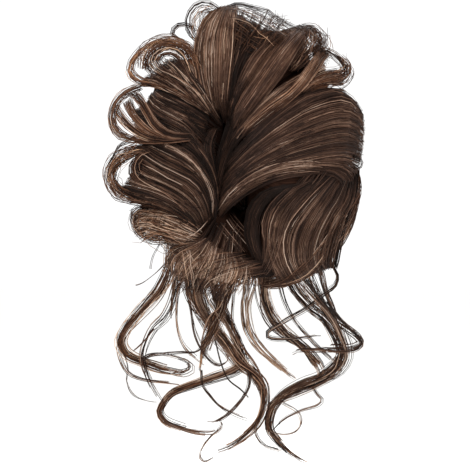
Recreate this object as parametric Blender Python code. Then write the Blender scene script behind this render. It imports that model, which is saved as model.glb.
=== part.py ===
# Top knot hairpiece: a messy bun of false hair on an elastic ring, with loose curled tendrils.
# The ring's centre is the origin. The bun faces -Y, and what it is worn on is at +Y.

from collections import namedtuple
from math import atan2, cos, exp, hypot, pi, radians, sin, sqrt

import bmesh
import bpy
from mathutils import Vector

# Driving sizes, in metres

bun_width = 0.148  # across the partings at the bun's rim
bun_height = 0.164
bun_depth = 0.068  # from the ring's plane to the valleys between the locks in front
rim_depth = 0.026  # from the ring's plane to the widest section
back_radius = 0.050  # where the locks' backs turn flat round the ring
lock_relief = 0.010  # how far the fullest lock stands proud of its valleys
parting_dive = 0.013  # how far the locks dip towards the parting

hollow_width = 0.088  # the space inside for the wearer's own bun
hollow_height = 0.100
hollow_depth = 0.034  # forward of the core
core_depth = 0.012  # the point that every lock's wall aims at, in front of the ring

band_radius = 0.030  # to the middle of the elastic's thickness
band_thickness = 0.005

twist_width = 0.044
twist_height = 0.098
twist_thickness = 0.008
twist_edge = 0.25  # its edge's thickness as a share of its middle's
twist_drop = 0.024  # its centre below the ring's centre

tendril_drop = 0.103  # from the bun's lower edge to the lowest tip
tendril_radius = 0.0024
tendril_tip = 0.0006

# Clearances

clearance = 0.0003  # between pieces that touch
lock_gap = 0.0012  # between neighbouring locks at the outside, narrower inside
twist_gap = 0.0007  # between the locks' inner sides and the twist

# Fineness

front_stations = (0.0, 0.09, 0.2, 0.33, 0.47, 0.61, 0.75, 0.87, 0.96, 1.0)
back_stations = (0.3, 0.55, 0.8, 1.0)
across_stations = (0.0, 0.12, 0.3, 0.5, 0.7, 0.88, 1.0)
tendril_sections = 28
tendril_sides = 6
fine_steps = 12  # of a tendril's curve, between two of its points
band_around = 40
band_sides = 12
twist_rings = 4
twist_around = 18
least_slant = 0.12  # where a lock's sections run nearly along its parting

# A parting's line over the front, as shares of half the bun's width and height
Parting = namedtuple("Parting", "start_x start_z mid_x mid_z rim_x rim_z")
partings = {
    "top_left": Parting(-0.117, 0.204, -0.234, 0.507, -0.336, 0.739),
    "high_left": Parting(-0.125, 0.162, -0.469, 0.366, -0.820, 0.444),
    "mid_left": Parting(-0.184, -0.472, -0.328, -0.092, -0.914, 0.028),
    "low_left": Parting(-0.195, -0.542, -0.508, -0.458, -0.836, -0.430),
    "bottom_left": Parting(-0.188, -0.606, -0.390, -0.655, -0.625, -0.669),
    "bottom_right": Parting(0.133, -0.810, 0.180, -0.901, 0.211, -0.985),
    "right_low": Parting(-0.137, -0.444, 0.211, -0.197, 0.953, -0.148),
    "right_high": Parting(-0.129, -0.176, 0.273, 0.225, 0.844, 0.430),
    "ridge": Parting(-0.105, -0.021, 0.211, 0.331, 0.648, 0.697),
    "top_right_outer": Parting(-0.082, 0.099, 0.133, 0.437, 0.430, 0.789),
    "top_right_inner": Parting(-0.070, 0.190, 0.062, 0.542, 0.180, 0.937),
}

# A lock lies between two partings, anticlockwise from right to left over the top.
# fullness is its share of lock_relief, and from_start how far along each parting it begins.
Lock = namedtuple("Lock", "name first second fullness from_first from_second colour")
locks = (
    Lock("lock_top", "top_right_inner", "top_left", 1.0, 0.0, 0.0, "hair_brown"),
    Lock("lock_left_high", "top_left", "high_left", 1.0, 0.0, 0.0, "hair_warm"),
    Lock("lock_left_mid", "high_left", "mid_left", 0.65, 0.0, 0.04, "hair_brown"),
    Lock("lock_left_low", "mid_left", "low_left", 0.75, 0.0, 0.0, "hair_brown"),
    Lock("lock_lower_left", "low_left", "bottom_left", 0.55, 0.0, 0.0, "hair_brown"),
    Lock("lock_gather", "bottom_left", "bottom_right", 0.55, 0.0, 0.0, "hair_brown"),
    Lock("lock_right_roll", "bottom_right", "right_low", 0.80, 0.0, 0.45, "hair_brown"),
    Lock("lock_right_swoop", "right_low", "right_high", 0.80, 0.0, 0.0, "hair_brown"),
    Lock("lock_ridge", "right_high", "ridge", 0.50, 0.0, 0.0, "hair_warm"),
    Lock("lock_top_right_outer", "ridge", "top_right_outer", 0.90, 0.0, 0.0, "hair_brown"),
    Lock("lock_top_right_inner", "top_right_outer", "top_right_inner", 0.60, 0.0, 0.0, "hair_brown"),
)

# A tendril's points: across as a share of half the bun's width, down as a share of
# tendril_drop below the bun's edge, and forward as a share of the bun's depth.
At = namedtuple("At", "across down forward")
Tendril = namedtuple("Tendril", "thickness points")
tendrils = (
    Tendril(1.0, (
        At(-0.53, -0.08, 0.00), At(-0.61, 0.03, 0.02), At(-0.76, 0.14, 0.05), At(-0.88, 0.25, 0.10),
        At(-0.90, 0.31, 0.12), At(-0.85, 0.38, 0.10), At(-0.73, 0.42, 0.05), At(-0.62, 0.455, 0.02),
        At(-0.49, 0.475, 0.04), At(-0.41, 0.48, 0.07), At(-0.34, 0.45, 0.10), At(-0.38, 0.42, 0.12),
        At(-0.49, 0.39, 0.12))),
    Tendril(0.75, (
        At(-0.45, -0.01, 0.00), At(-0.54, 0.16, 0.08), At(-0.65, 0.24, 0.13), At(-0.73, 0.38, 0.17),
        At(-0.72, 0.45, 0.17), At(-0.67, 0.54, 0.17), At(-0.58, 0.65, 0.15), At(-0.49, 0.71, 0.13))),
    Tendril(1.0, (
        At(-0.28, -0.01, 0.00), At(-0.27, 0.07, 0.02), At(-0.19, 0.20, 0.06), At(-0.08, 0.30, 0.08),
        At(0.02, 0.42, 0.08), At(0.15, 0.49, 0.10), At(0.22, 0.55, 0.12), At(0.23, 0.62, 0.11),
        At(0.22, 0.69, 0.07), At(0.18, 0.76, 0.04), At(0.09, 0.83, 0.03), At(-0.05, 0.90, 0.04),
        At(-0.20, 0.94, 0.07), At(-0.25, 0.96, 0.08))),
    Tendril(0.9, (
        At(-0.165, -0.01, 0.00), At(-0.10, 0.12, -0.01), At(0.02, 0.32, -0.01), At(0.06, 0.43, 0.00),
        At(-0.02, 0.475, 0.01), At(-0.12, 0.50, 0.02), At(-0.23, 0.525, 0.04), At(-0.37, 0.56, 0.05),
        At(-0.50, 0.60, 0.03), At(-0.57, 0.66, 0.02), At(-0.60, 0.71, 0.02), At(-0.56, 0.76, 0.03),
        At(-0.43, 0.80, 0.04), At(-0.30, 0.82, 0.05), At(-0.17, 0.82, 0.06), At(-0.11, 0.79, 0.06),
        At(-0.12, 0.75, 0.05))),
    Tendril(0.85, (
        At(-0.055, -0.01, 0.00), At(-0.10, 0.10, 0.12), At(-0.16, 0.17, 0.17), At(-0.19, 0.26, 0.18),
        At(-0.25, 0.35, 0.19), At(-0.26, 0.41, 0.19), At(-0.27, 0.47, 0.18), At(-0.26, 0.52, 0.17))),
    Tendril(0.75, (
        At(0.085, -0.01, 0.00), At(0.07, 0.12, 0.01), At(0.10, 0.25, 0.01), At(0.21, 0.36, 0.00),
        At(0.39, 0.47, 0.00), At(0.52, 0.53, 0.01))),
    Tendril(1.0, (
        At(0.21, -0.01, 0.00), At(0.24, 0.10, 0.02), At(0.31, 0.20, 0.04), At(0.42, 0.275, 0.08),
        At(0.52, 0.32, 0.12), At(0.62, 0.41, 0.16), At(0.67, 0.48, 0.18), At(0.66, 0.52, 0.19))),
    Tendril(1.0, (
        At(0.45, -0.04, 0.00), At(0.59, 0.09, 0.02), At(0.73, 0.17, 0.04), At(0.80, 0.25, 0.06),
        At(0.85, 0.33, 0.07), At(0.86, 0.38, 0.07), At(0.81, 0.44, 0.07), At(0.68, 0.51, 0.09),
        At(0.52, 0.55, 0.12), At(0.36, 0.62, 0.15), At(0.28, 0.71, 0.16), At(0.27, 0.80, 0.15),
        At(0.33, 0.865, 0.12), At(0.42, 0.93, 0.09), At(0.52, 0.98, 0.08), At(0.60, 1.0, 0.08))),
    Tendril(0.8, (
        At(0.58, -0.08, 0.00), At(0.64, 0.02, 0.04), At(0.69, 0.10, 0.08), At(0.77, 0.17, 0.10),
        At(0.88, 0.225, 0.11), At(0.98, 0.275, 0.13), At(1.00, 0.31, 0.15), At(0.94, 0.34, 0.17),
        At(0.77, 0.345, 0.18), At(0.62, 0.345, 0.23), At(0.48, 0.35, 0.26), At(0.42, 0.38, 0.27),
        At(0.39, 0.40, 0.26))),
    Tendril(0.7, (
        At(0.69, -0.09, 0.00), At(0.73, 0.02, -0.01), At(0.79, 0.12, -0.01), At(0.82, 0.21, -0.01),
        At(0.86, 0.29, -0.01))),
)
root_fan = radians(108)  # the arc under the ring that the tendrils leave from

# Colours, with roughness
finishes = {
    "hair_brown": ((0.062, 0.036, 0.026, 1.0), 0.42),
    "hair_warm": ((0.088, 0.045, 0.029, 1.0), 0.42),
    "hair_shadow": ((0.018, 0.011, 0.010, 1.0), 0.6),
    "elastic_black": ((0.012, 0.010, 0.010, 1.0), 0.8),
}

half_width = bun_width / 2
half_height = bun_height / 2
back_y = -(band_thickness / 2 + clearance)  # the locks' flat backs, against the ring
core = Vector((0, -core_depth, 0))


def smooth(t):
    t = min(max(t, 0.0), 1.0)
    return t * t * (3 - 2 * t)


def mix(a, b, t):
    return a + (b - a) * t


def along_parting(parting, t):
    """A parting's place over the front as shares, on a curve through its three points."""
    bend_x = 2 * parting.mid_x - (parting.start_x + parting.rim_x) / 2
    bend_z = 2 * parting.mid_z - (parting.start_z + parting.rim_z) / 2
    a, b, c = (1 - t) ** 2, 2 * t * (1 - t), t * t
    x = a * parting.start_x + b * bend_x + c * parting.rim_x
    z = a * parting.start_z + b * bend_z + c * parting.rim_z
    return x, z


def rim_place(lock, u):
    """The lock's rim between its partings: its turn round the bun, and its share of the radius."""
    first, second = partings[lock.first], partings[lock.second]
    turn_a = atan2(first.rim_z, first.rim_x)
    turn_b = atan2(second.rim_z, second.rim_x)
    if turn_b < turn_a:
        turn_b += 2 * pi
    reach_a = hypot(first.rim_x, first.rim_z)
    reach_b = hypot(second.rim_x, second.rim_z)
    return mix(turn_a, turn_b, u), mix(reach_a, reach_b, u)


def dome_point(share_x, share_z, rim_share):
    """A point of the bun's plain dome over a place given as shares."""
    inside = max(0.0, 1 - (hypot(share_x, share_z) / rim_share) ** 2)
    depth = mix(rim_depth, bun_depth, sqrt(inside))
    return Vector((share_x * half_width, -depth, share_z * half_height))


def hollow_point(direction):
    """Where a ray from the core meets the hollow."""
    stretch = Vector((direction.x / hollow_width * 2, direction.y / hollow_depth,
                      direction.z / hollow_height * 2))
    return core + direction / stretch.length


def front_place(lock, t, u):
    first, second = partings[lock.first], partings[lock.second]
    ax, az = along_parting(first, mix(lock.from_first, 1, t))
    bx, bz = along_parting(second, mix(lock.from_second, 1, t))
    turn, reach = rim_place(lock, u)
    chord_x = mix(first.rim_x, second.rim_x, u)
    chord_z = mix(first.rim_z, second.rim_z, u)
    x = mix(ax, bx, u) + t * t * (reach * cos(turn) - chord_x)
    z = mix(az, bz, u) + t * t * (reach * sin(turn) - chord_z)
    return x, z, reach


def front_points(lock, t, u, bulge):
    """The outer and inner point of a lock over the front, on one ray from the core."""
    share_x, share_z, reach = front_place(lock, t, u)
    plain = dome_point(share_x, share_z, reach) - core
    ray = plain.normalized()
    swell = lock_relief * lock.fullness * bulge * smooth(t / 0.35)
    dive = parting_dive * exp(-((t / 0.16) ** 2))
    outer = core + ray * (plain.length + swell - dive)
    return outer, hollow_point(ray)


def back_points(lock, w, u, bulge):
    """The same behind the rim, where the lock turns in to the ring at one angle round it."""
    outer_rim, inner_rim = front_points(lock, 1.0, u, bulge)
    turn = atan2(outer_rim.z, outer_rim.x)
    places = []
    for rim, end in ((outer_rim, back_radius), (inner_rim, band_radius - band_thickness / 2)):
        reach = mix(end, hypot(rim.x, rim.z), cos(w * pi / 2))
        depth = mix(rim.y, back_y, sin(w * pi / 2))
        places.append(Vector((reach * cos(turn), depth, reach * sin(turn))))
    return places


def wall_inset(lock, place, t, u):
    """How far a lock's wall stays from its parting, as a share of the lock's width there."""
    across = place(lock, t, 1.0, 0.0)[0] - place(lock, t, 0.0, 0.0)[0]
    behind, ahead = place(lock, max(t - 0.05, 0), u, 0.0)[0], place(lock, min(t + 0.05, 1), u, 0.0)[0]
    along = (ahead - behind).normalized()
    slant = max(across.cross(along).length / across.length, least_slant)
    return lock_gap / 2 / slant / across.length


def lock_section(lock, place, t):
    """One closed section: the outer side from parting to parting, then the inner side back."""
    first, second = wall_inset(lock, place, t, 0.0), wall_inset(lock, place, t, 1.0)
    outer, inner = [], []
    for u in across_stations:
        bulge = 1 - abs(2 * u - 1) ** 2.2
        a, b = place(lock, t, mix(first, 1 - second, u), bulge)
        outer.append(a)
        inner.append(b)
    return outer + inner[::-1]


def loft(name, sections, finish):
    """A closed body through sections with the same number of points, capped at both ends."""
    mesh = bmesh.new()
    rings = [[mesh.verts.new(p) for p in section] for section in sections]
    for ring, following in zip(rings, rings[1:]):
        count = len(ring)
        for i in range(count):
            j = (i + 1) % count
            mesh.faces.new((ring[i], ring[j], following[j], following[i]))
    mesh.faces.new(rings[0][::-1])
    mesh.faces.new(rings[-1])
    return finish_body(name, mesh, finish)


def lock_body(lock):
    sections = [lock_section(lock, front_points, t) for t in front_stations]
    sections += [lock_section(lock, back_points, w) for w in back_stations]
    count = len(across_stations)
    mesh = bmesh.new()
    rings = [[mesh.verts.new(p) for p in section] for section in sections]
    for ring, following in zip(rings, rings[1:]):
        for i in range(2 * count):
            j = (i + 1) % (2 * count)
            mesh.faces.new((ring[i], ring[j], following[j], following[i]))
    for ring in (rings[0], rings[-1]):
        for i in range(count - 1):
            mesh.faces.new((ring[i], ring[i + 1], ring[2 * count - 2 - i], ring[2 * count - 1 - i]))
    return finish_body(lock.name, mesh, lock.colour)


def finish_body(name, mesh, finish):
    bmesh.ops.recalc_face_normals(mesh, faces=mesh.faces)
    if mesh.calc_volume(signed=True) < 0:
        bmesh.ops.reverse_faces(mesh, faces=mesh.faces)
    data = bpy.data.meshes.new(name)
    mesh.to_mesh(data)
    mesh.free()
    data.shade_smooth()
    data.set_sharp_from_angle(angle=radians(50))
    data.materials.append(make_material(name, finish))
    body = bpy.data.objects.new(name, data)
    bpy.context.collection.objects.link(body)
    return body


def make_material(name, finish):
    colour, roughness = finishes[finish]
    material = bpy.data.materials.new(name)
    material.use_nodes = True
    shader = material.node_tree.nodes["Principled BSDF"]
    shader.inputs["Base Color"].default_value = colour
    shader.inputs["Roughness"].default_value = roughness
    shader.inputs["Metallic"].default_value = 0.0
    return material


def elastic_band():
    mesh = bmesh.new()
    rings = []
    for i in range(band_around):
        turn = 2 * pi * i / band_around
        ring = []
        for k in range(band_sides):
            tilt = 2 * pi * k / band_sides
            reach = band_radius + band_thickness / 2 * cos(tilt)
            depth = band_thickness / 2 * sin(tilt)
            ring.append(mesh.verts.new((reach * cos(turn), depth, reach * sin(turn))))
        rings.append(ring)
    for i in range(band_around):
        ring, following = rings[i], rings[(i + 1) % band_around]
        for k in range(band_sides):
            m = (k + 1) % band_sides
            mesh.faces.new((ring[k], ring[m], following[m], following[k]))
    return finish_body("elastic_band", mesh, "elastic_black")


def twist_point(share, turn, side):
    """A point of the twist: share of the way to its edge, and side 0 in front or 1 behind."""
    x = twist_width / 2 * share * cos(turn)
    z = twist_height / 2 * share * sin(turn) - twist_drop
    ray = (dome_point(x / half_width, z / half_height, 1.0) - core).normalized()
    swell = mix(twist_edge, 1.0, sqrt(1 - share * share)) * (1 if side else -1)
    depth = twist_gap + twist_thickness * (1 + swell) / 2
    return core + ray * ((hollow_point(ray) - core).length - depth)


def centre_twist():
    """A lens of hair that follows the hollow's front, behind the parting and the low hollow."""
    mesh = bmesh.new()
    turns = [2 * pi * i / twist_around for i in range(twist_around)]
    edges = []
    for side in (0, 1):
        middle = mesh.verts.new(twist_point(0.0, 0.0, side))
        inner = None
        for k in range(1, twist_rings + 1):
            outer = [mesh.verts.new(twist_point(k / twist_rings, turn, side)) for turn in turns]
            for i in range(twist_around):
                j = (i + 1) % twist_around
                if inner is None:
                    mesh.faces.new((middle, outer[i], outer[j]))
                else:
                    mesh.faces.new((inner[i], outer[i], outer[j], inner[j]))
            inner = outer
        edges.append(inner)
    front, rear = edges
    for i in range(twist_around):
        j = (i + 1) % twist_around
        mesh.faces.new((front[i], rear[i], rear[j], front[j]))
    return finish_body("centre_twist", mesh, "hair_shadow")


def tendril_route(index, tendril):
    """From the ring's outer side, behind the locks, out under the bun's edge and down its curls."""
    radius = tendril_radius * tendril.thickness
    lane = back_y + clearance + radius
    turn = mix(-root_fan / 2, root_fan / 2, index / (len(tendrils) - 1)) - pi / 2
    reach = band_radius + band_thickness / 2 + clearance
    root = Vector((reach * cos(turn), lane, reach * sin(turn)))
    leave = Vector(((reach + 4 * radius) * cos(turn), lane, (reach + 4 * radius) * sin(turn)))
    route = [root, leave]
    for p in tendril.points:
        z = -half_height - p.down * tendril_drop
        route.append(Vector((p.across * half_width, lane - p.forward * bun_depth, z)))
    return route


def smooth_route(points, count):
    """Evenly spaced points on a smooth curve through the given ones."""
    padded = [2 * points[0] - points[1]] + points + [2 * points[-1] - points[-2]]
    fine = []
    for p0, p1, p2, p3 in zip(padded, padded[1:], padded[2:], padded[3:]):
        k0, k1, k2 = sqrt((p1 - p0).length), sqrt((p2 - p1).length), sqrt((p3 - p2).length)
        leave = ((p1 - p0) / k0 - (p2 - p0) / (k0 + k1) + (p2 - p1) / k1) * k1
        arrive = ((p2 - p1) / k1 - (p3 - p1) / (k1 + k2) + (p3 - p2) / k2) * k1
        for step in range(fine_steps):
            t = step / fine_steps
            keep = 2 * t ** 3 - 3 * t ** 2 + 1
            fine.append(p1 * keep + leave * (t ** 3 - 2 * t ** 2 + t)
                        + p2 * (1 - keep) + arrive * (t ** 3 - t ** 2))
    fine.append(points[-1])
    reached = [0.0]
    for a, b in zip(fine, fine[1:]):
        reached.append(reached[-1] + (b - a).length)
    even, k = [], 0
    for i in range(count):
        want = reached[-1] * i / (count - 1)
        while k < len(fine) - 2 and reached[k + 1] < want:
            k += 1
        share = (want - reached[k]) / (reached[k + 1] - reached[k])
        even.append(fine[k].lerp(fine[k + 1], min(max(share, 0.0), 1.0)))
    return even


def tendril_body(index, tendril):
    line = smooth_route(tendril_route(index, tendril), tendril_sections)
    sections = []
    side = None
    for i, place in enumerate(line):
        ahead = line[min(i + 1, len(line) - 1)] - line[max(i - 1, 0)]
        if i == 0:
            ahead = Vector((place.x, 0, place.z))
        ahead.normalize()
        side = ahead.cross(Vector((0, 1, 0))) if side is None else side - ahead * side.dot(ahead)
        side.normalize()
        up = ahead.cross(side)
        t = i / (len(line) - 1)
        radius = mix(tendril_tip, tendril_radius * tendril.thickness, (1 - t) ** 0.55)
        sections.append([place + side * radius * cos(a) + up * radius * sin(a)
                         for a in (2 * pi * k / tendril_sides for k in range(tendril_sides))])
    return loft(f"tendril_{index + 1}", sections, "hair_warm")


def main():
    for old in list(bpy.data.objects):
        bpy.data.objects.remove(old)
    elastic_band()
    centre_twist()
    for lock in locks:
        lock_body(lock)
    for index, tendril in enumerate(tendrils):
        tendril_body(index, tendril)


main()
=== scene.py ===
import math
from collections import namedtuple

import bmesh
import bpy
import numpy as np
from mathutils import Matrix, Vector


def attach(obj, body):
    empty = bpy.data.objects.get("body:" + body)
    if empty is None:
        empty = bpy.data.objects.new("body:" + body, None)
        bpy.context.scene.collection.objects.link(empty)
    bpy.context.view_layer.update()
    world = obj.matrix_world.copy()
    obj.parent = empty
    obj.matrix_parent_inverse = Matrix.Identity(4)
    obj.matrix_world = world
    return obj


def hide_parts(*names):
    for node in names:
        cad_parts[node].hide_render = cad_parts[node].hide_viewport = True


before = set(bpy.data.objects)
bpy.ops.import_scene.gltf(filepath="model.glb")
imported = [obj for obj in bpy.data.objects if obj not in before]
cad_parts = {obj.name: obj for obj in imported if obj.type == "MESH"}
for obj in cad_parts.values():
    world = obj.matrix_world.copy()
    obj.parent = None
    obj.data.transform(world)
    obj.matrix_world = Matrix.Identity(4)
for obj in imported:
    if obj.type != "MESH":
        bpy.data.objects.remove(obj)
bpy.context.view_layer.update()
print("Frame loaded")


# Camera first: level with the bun, looking along +Y

cameraLook = {"distance": 2.0, "frameWidth": 0.2726, "middle": (0.0, -0.026, -0.051)}


def makeCamera(look):
    data = bpy.data.cameras.new("camera")
    data.sensor_width = 36.0
    data.lens = data.sensor_width * look["distance"] / look["frameWidth"]
    camera = bpy.data.objects.new("camera", data)
    bpy.context.scene.collection.objects.link(camera)
    x, y, z = look["middle"]
    camera.location = (x, y - look["distance"], z)
    camera.rotation_euler = (math.radians(90), 0, 0)
    bpy.context.scene.camera = camera


makeCamera(cameraLook)
print("Camera placed")


# The bun's form, in metres and shares, as the CAD model has it

bun = {
    "halfWidth": 0.074, "halfHeight": 0.082, "depth": 0.068, "rimDepth": 0.026, "backRadius": 0.050,
    "relief": 0.010, "dive": 0.013, "backY": -0.0028, "ringRadius": 0.030, "ringThickness": 0.005,
    "hollowHalfWidth": 0.044, "hollowHalfHeight": 0.050, "hollowDepth": 0.034, "coreDepth": 0.012,
    "bulgePower": 2.2, "reliefRise": 0.35, "diveReach": 0.16,
}
core = np.array((0.0, -bun["coreDepth"], 0.0))

# startX, startZ, midX, midZ, rimX, rimZ of each parting, as shares of half the bun
partings = {
    "topLeft": (-0.117, 0.204, -0.234, 0.507, -0.336, 0.739),
    "highLeft": (-0.125, 0.162, -0.469, 0.366, -0.820, 0.444),
    "midLeft": (-0.184, -0.472, -0.328, -0.092, -0.914, 0.028),
    "lowLeft": (-0.195, -0.542, -0.508, -0.458, -0.836, -0.430),
    "bottomLeft": (-0.188, -0.606, -0.390, -0.655, -0.625, -0.669),
    "bottomRight": (0.133, -0.810, 0.180, -0.901, 0.211, -0.985),
    "rightLow": (-0.137, -0.444, 0.211, -0.197, 0.953, -0.148),
    "rightHigh": (-0.129, -0.176, 0.273, 0.225, 0.844, 0.430),
    "ridge": (-0.105, -0.021, 0.211, 0.331, 0.648, 0.697),
    "topRightOuter": (-0.082, 0.099, 0.133, 0.437, 0.430, 0.789),
    "topRightInner": (-0.070, 0.190, 0.062, 0.542, 0.180, 0.937),
}

Lock = namedtuple("Lock", "node first second fullness fromFirst fromSecond")
locks = [
    Lock("lock_top", "topRightInner", "topLeft", 1.0, 0.0, 0.0),
    Lock("lock_left_high", "topLeft", "highLeft", 1.0, 0.0, 0.0),
    Lock("lock_left_mid", "highLeft", "midLeft", 0.65, 0.0, 0.04),
    Lock("lock_left_low", "midLeft", "lowLeft", 0.75, 0.0, 0.0),
    Lock("lock_lower_left", "lowLeft", "bottomLeft", 0.55, 0.0, 0.0),
    Lock("lock_gather", "bottomLeft", "bottomRight", 0.55, 0.0, 0.0),
    Lock("lock_right_roll", "bottomRight", "rightLow", 0.80, 0.0, 0.45),
    Lock("lock_right_swoop", "rightLow", "rightHigh", 0.80, 0.0, 0.0),
    Lock("lock_ridge", "rightHigh", "ridge", 0.50, 0.0, 0.0),
    Lock("lock_top_right_outer", "ridge", "topRightOuter", 0.90, 0.0, 0.0),
    Lock("lock_top_right_inner", "topRightOuter", "topRightInner", 0.60, 0.0, 0.0),
]

# How each lock is dressed: sink is how far its dark core of painted shade lies under the strands at the rim,
# in mm
# a lock's tone holds painted light and shade as well as the hair's own colour, and warm is a painted glow of
# light passing through its thin hair
lockLook = {
    "lock_top": dict(clumps=23, tone=0.66, sweep=0, sink=4, frizz=1, warm=0.45, contrast=0.60),
    "lock_left_high": dict(clumps=21, tone=0.48, sweep=0.10, sink=13, frizz=1.4, warm=0.55, contrast=1.40),
    "lock_left_mid": dict(clumps=23, tone=0.34, sweep=0.14, sink=13, frizz=1.2, warm=0.35, contrast=1.35),
    "lock_left_low": dict(clumps=23, tone=0.37, sweep=0.10, sink=13, frizz=1.1, warm=0.35, contrast=1.20),
    "lock_lower_left": dict(clumps=18, tone=0.54, sweep=0.05, sink=6, frizz=1.3, warm=0.5, contrast=1.60),
    "lock_gather": dict(clumps=22, tone=0.74, sweep=0, sink=6, frizz=1.6, warm=0.5, contrast=0.75),
    "lock_right_roll": dict(clumps=40, tone=0.51, sweep=0, sink=3, frizz=0.8, warm=0.3, contrast=0.75),
    "lock_right_swoop": dict(clumps=27, tone=0.53, sweep=0.06, sink=3, frizz=0.7, warm=0.25, contrast=0.60),
    "lock_ridge": dict(clumps=18, tone=0.61, sweep=0, sink=7, frizz=1.2, warm=0.6, contrast=0.70),
    "lock_top_right_outer": dict(clumps=18, tone=0.61, sweep=0, sink=6, frizz=1, warm=0.3, contrast=0.45),
    "lock_top_right_inner": dict(clumps=16, tone=0.27, sweep=0, sink=20, frizz=2.2, warm=0.6, contrast=0.35),
}

# Hair fibre is about 0.08 mm thick, and is drawn 0.34 to 0.42 mm thick so that it shows
strandLook = {"copies": 7, "radius": 0.00021, "side": 0.0012, "out": 0.0009, "wander": 0.0050, "scale": 45.0}
loopLook = {"copies": 2, "radius": 0.00019, "side": 0.0009, "out": 0.0012, "wander": 0.0040, "scale": 26.0}
frizzLook = {"copies": 3, "radius": 0.00018, "side": 0.0034, "out": 0.0020, "wander": 0.0090, "scale": 75.0,
             "contrast": 0.9}


def smooth(t):
    t = np.clip(t, 0.0, 1.0)
    return t * t * (3 - 2 * t)


def mix(a, b, t):
    return a + (b - a) * t


def unit(v):
    return v / np.maximum(np.linalg.norm(v, axis=-1, keepdims=True), 1e-9)


def alongParting(name, t):
    startX, startZ, midX, midZ, rimX, rimZ = partings[name]
    bendX = 2 * midX - (startX + rimX) / 2
    bendZ = 2 * midZ - (startZ + rimZ) / 2
    a, b, c = (1 - t) ** 2, 2 * t * (1 - t), t * t
    return a * startX + b * bendX + c * rimX, a * startZ + b * bendZ + c * rimZ


def lockPoint(lock, t, u):
    # t runs 0 to 1 over the front, to 2 round the shoulder and to 3 across the flat back to the ring
    front, shoulder, flat = np.clip(t, 0, 1), np.clip(t - 1, 0, 1), np.clip(t - 2, 0, 1)
    ax, az = alongParting(lock.first, mix(lock.fromFirst, 1, front))
    bx, bz = alongParting(lock.second, mix(lock.fromSecond, 1, front))
    firstX, firstZ = partings[lock.first][4:]
    secondX, secondZ = partings[lock.second][4:]
    turnA, turnB = math.atan2(firstZ, firstX), math.atan2(secondZ, secondX)
    turnB += 2 * math.pi if turnB < turnA else 0
    turn = mix(turnA, turnB, u)
    reach = mix(math.hypot(firstX, firstZ), math.hypot(secondX, secondZ), u)
    x = mix(ax, bx, u) + front ** 2 * (reach * np.cos(turn) - mix(firstX, secondX, u))
    z = mix(az, bz, u) + front ** 2 * (reach * np.sin(turn) - mix(firstZ, secondZ, u))
    inside = np.clip(1 - (x * x + z * z) / reach ** 2, 0, None)
    depth = mix(bun["rimDepth"], bun["depth"], np.sqrt(inside))
    plain = np.stack((x * bun["halfWidth"], -depth, z * bun["halfHeight"]), -1) - core
    length = np.linalg.norm(plain, axis=-1)
    bulge = 1 - np.abs(2 * np.clip(u, 0, 1) - 1) ** bun["bulgePower"]
    length2 = length + bun["relief"] * lock.fullness * bulge * smooth(front / bun["reliefRise"])
    length2 = length2 - bun["dive"] * np.exp(-((front / bun["diveReach"]) ** 2))
    p = core + plain * (length2 / length)[..., None]
    angle = np.arctan2(p[..., 2], p[..., 0])
    rim = np.hypot(p[..., 0], p[..., 2])
    rim = np.where(shoulder > 0, mix(bun["backRadius"], rim, np.cos(shoulder * math.pi / 2)), rim)
    rim = mix(rim, bun["ringRadius"], flat)
    y = mix(p[..., 1], bun["backY"], np.sin(shoulder * math.pi / 2))
    return np.stack((rim * np.cos(angle), y, rim * np.sin(angle)), -1)


def lockFrame(lock, t, u):
    # points on the lock's outside, and the outward direction there
    step = 0.004
    p = lockPoint(lock, t, u)
    across = lockPoint(lock, t, u + step) - lockPoint(lock, t, u - step)
    along = lockPoint(lock, t + step, u) - lockPoint(lock, np.maximum(t - step, 0), u)
    out = unit(np.cross(along, across))
    out = out * np.sign(np.sum(out * (p - core), -1, keepdims=True) + 1e-12)
    return p, out


def hollowPoint(p):
    # the hollow's wall on the ray from the core through p
    ray = unit(p - core)
    size = np.array((bun["hollowHalfWidth"], bun["hollowDepth"], bun["hollowHalfHeight"]))
    return core + ray / np.linalg.norm(ray / size, axis=-1, keepdims=True)


# Materials

def hexColour(text):
    channels = [int(text[i:i + 2], 16) / 255 for i in (1, 3, 5)]
    return [c / 12.92 if c <= 0.04045 else ((c + 0.055) / 1.055) ** 2.4 for c in channels] + [1.0]


def addNode(tree, kind, settings=None, inputs=None):
    # settings are the node's own properties, inputs are values or the sockets they are linked from
    node = tree.nodes.new(kind)
    for key, value in (settings or {}).items():
        setattr(node, key, value)
    for key, value in (inputs or {}).items():
        if isinstance(value, bpy.types.NodeSocket):
            tree.links.new(value, node.inputs[key])
        else:
            node.inputs[key].default_value = value
    return node


def newMaterial(name):
    material = bpy.data.materials.new(name)
    material.use_nodes = True
    tree = material.node_tree
    return material, tree, tree.nodes["Principled BSDF"]


def setRamp(node, stops):
    ramp = node.color_ramp
    while len(ramp.elements) < len(stops):
        ramp.elements.new(0.5)
    for element, (place, colour) in zip(ramp.elements, stops):
        element.position = place
        element.color = hexColour(colour)


fibreLook = {
    "tones": ((0.0, "#18110e"), (0.3, "#2e201a"), (0.6, "#4f3a2f"), (0.85, "#7d6455"), (1.0, "#a79283")),
    # the second ramp is a painted glow of light passing through thin hair at the rim and the tips
    "glowTones": ((0.0, "#1c0f08"), (0.3, "#3a2012"), (0.6, "#6a4128"), (0.85, "#a0704c"), (1.0, "#c79d76")),
    "flecks": ((420.0, 0.22), (70.0, 0.5)),  # 2.4 and 14 mm apart, and how far each shifts the tone
    "roughness": 0.5, "ior": 1.50, "sheen": 0.07,
}


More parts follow.
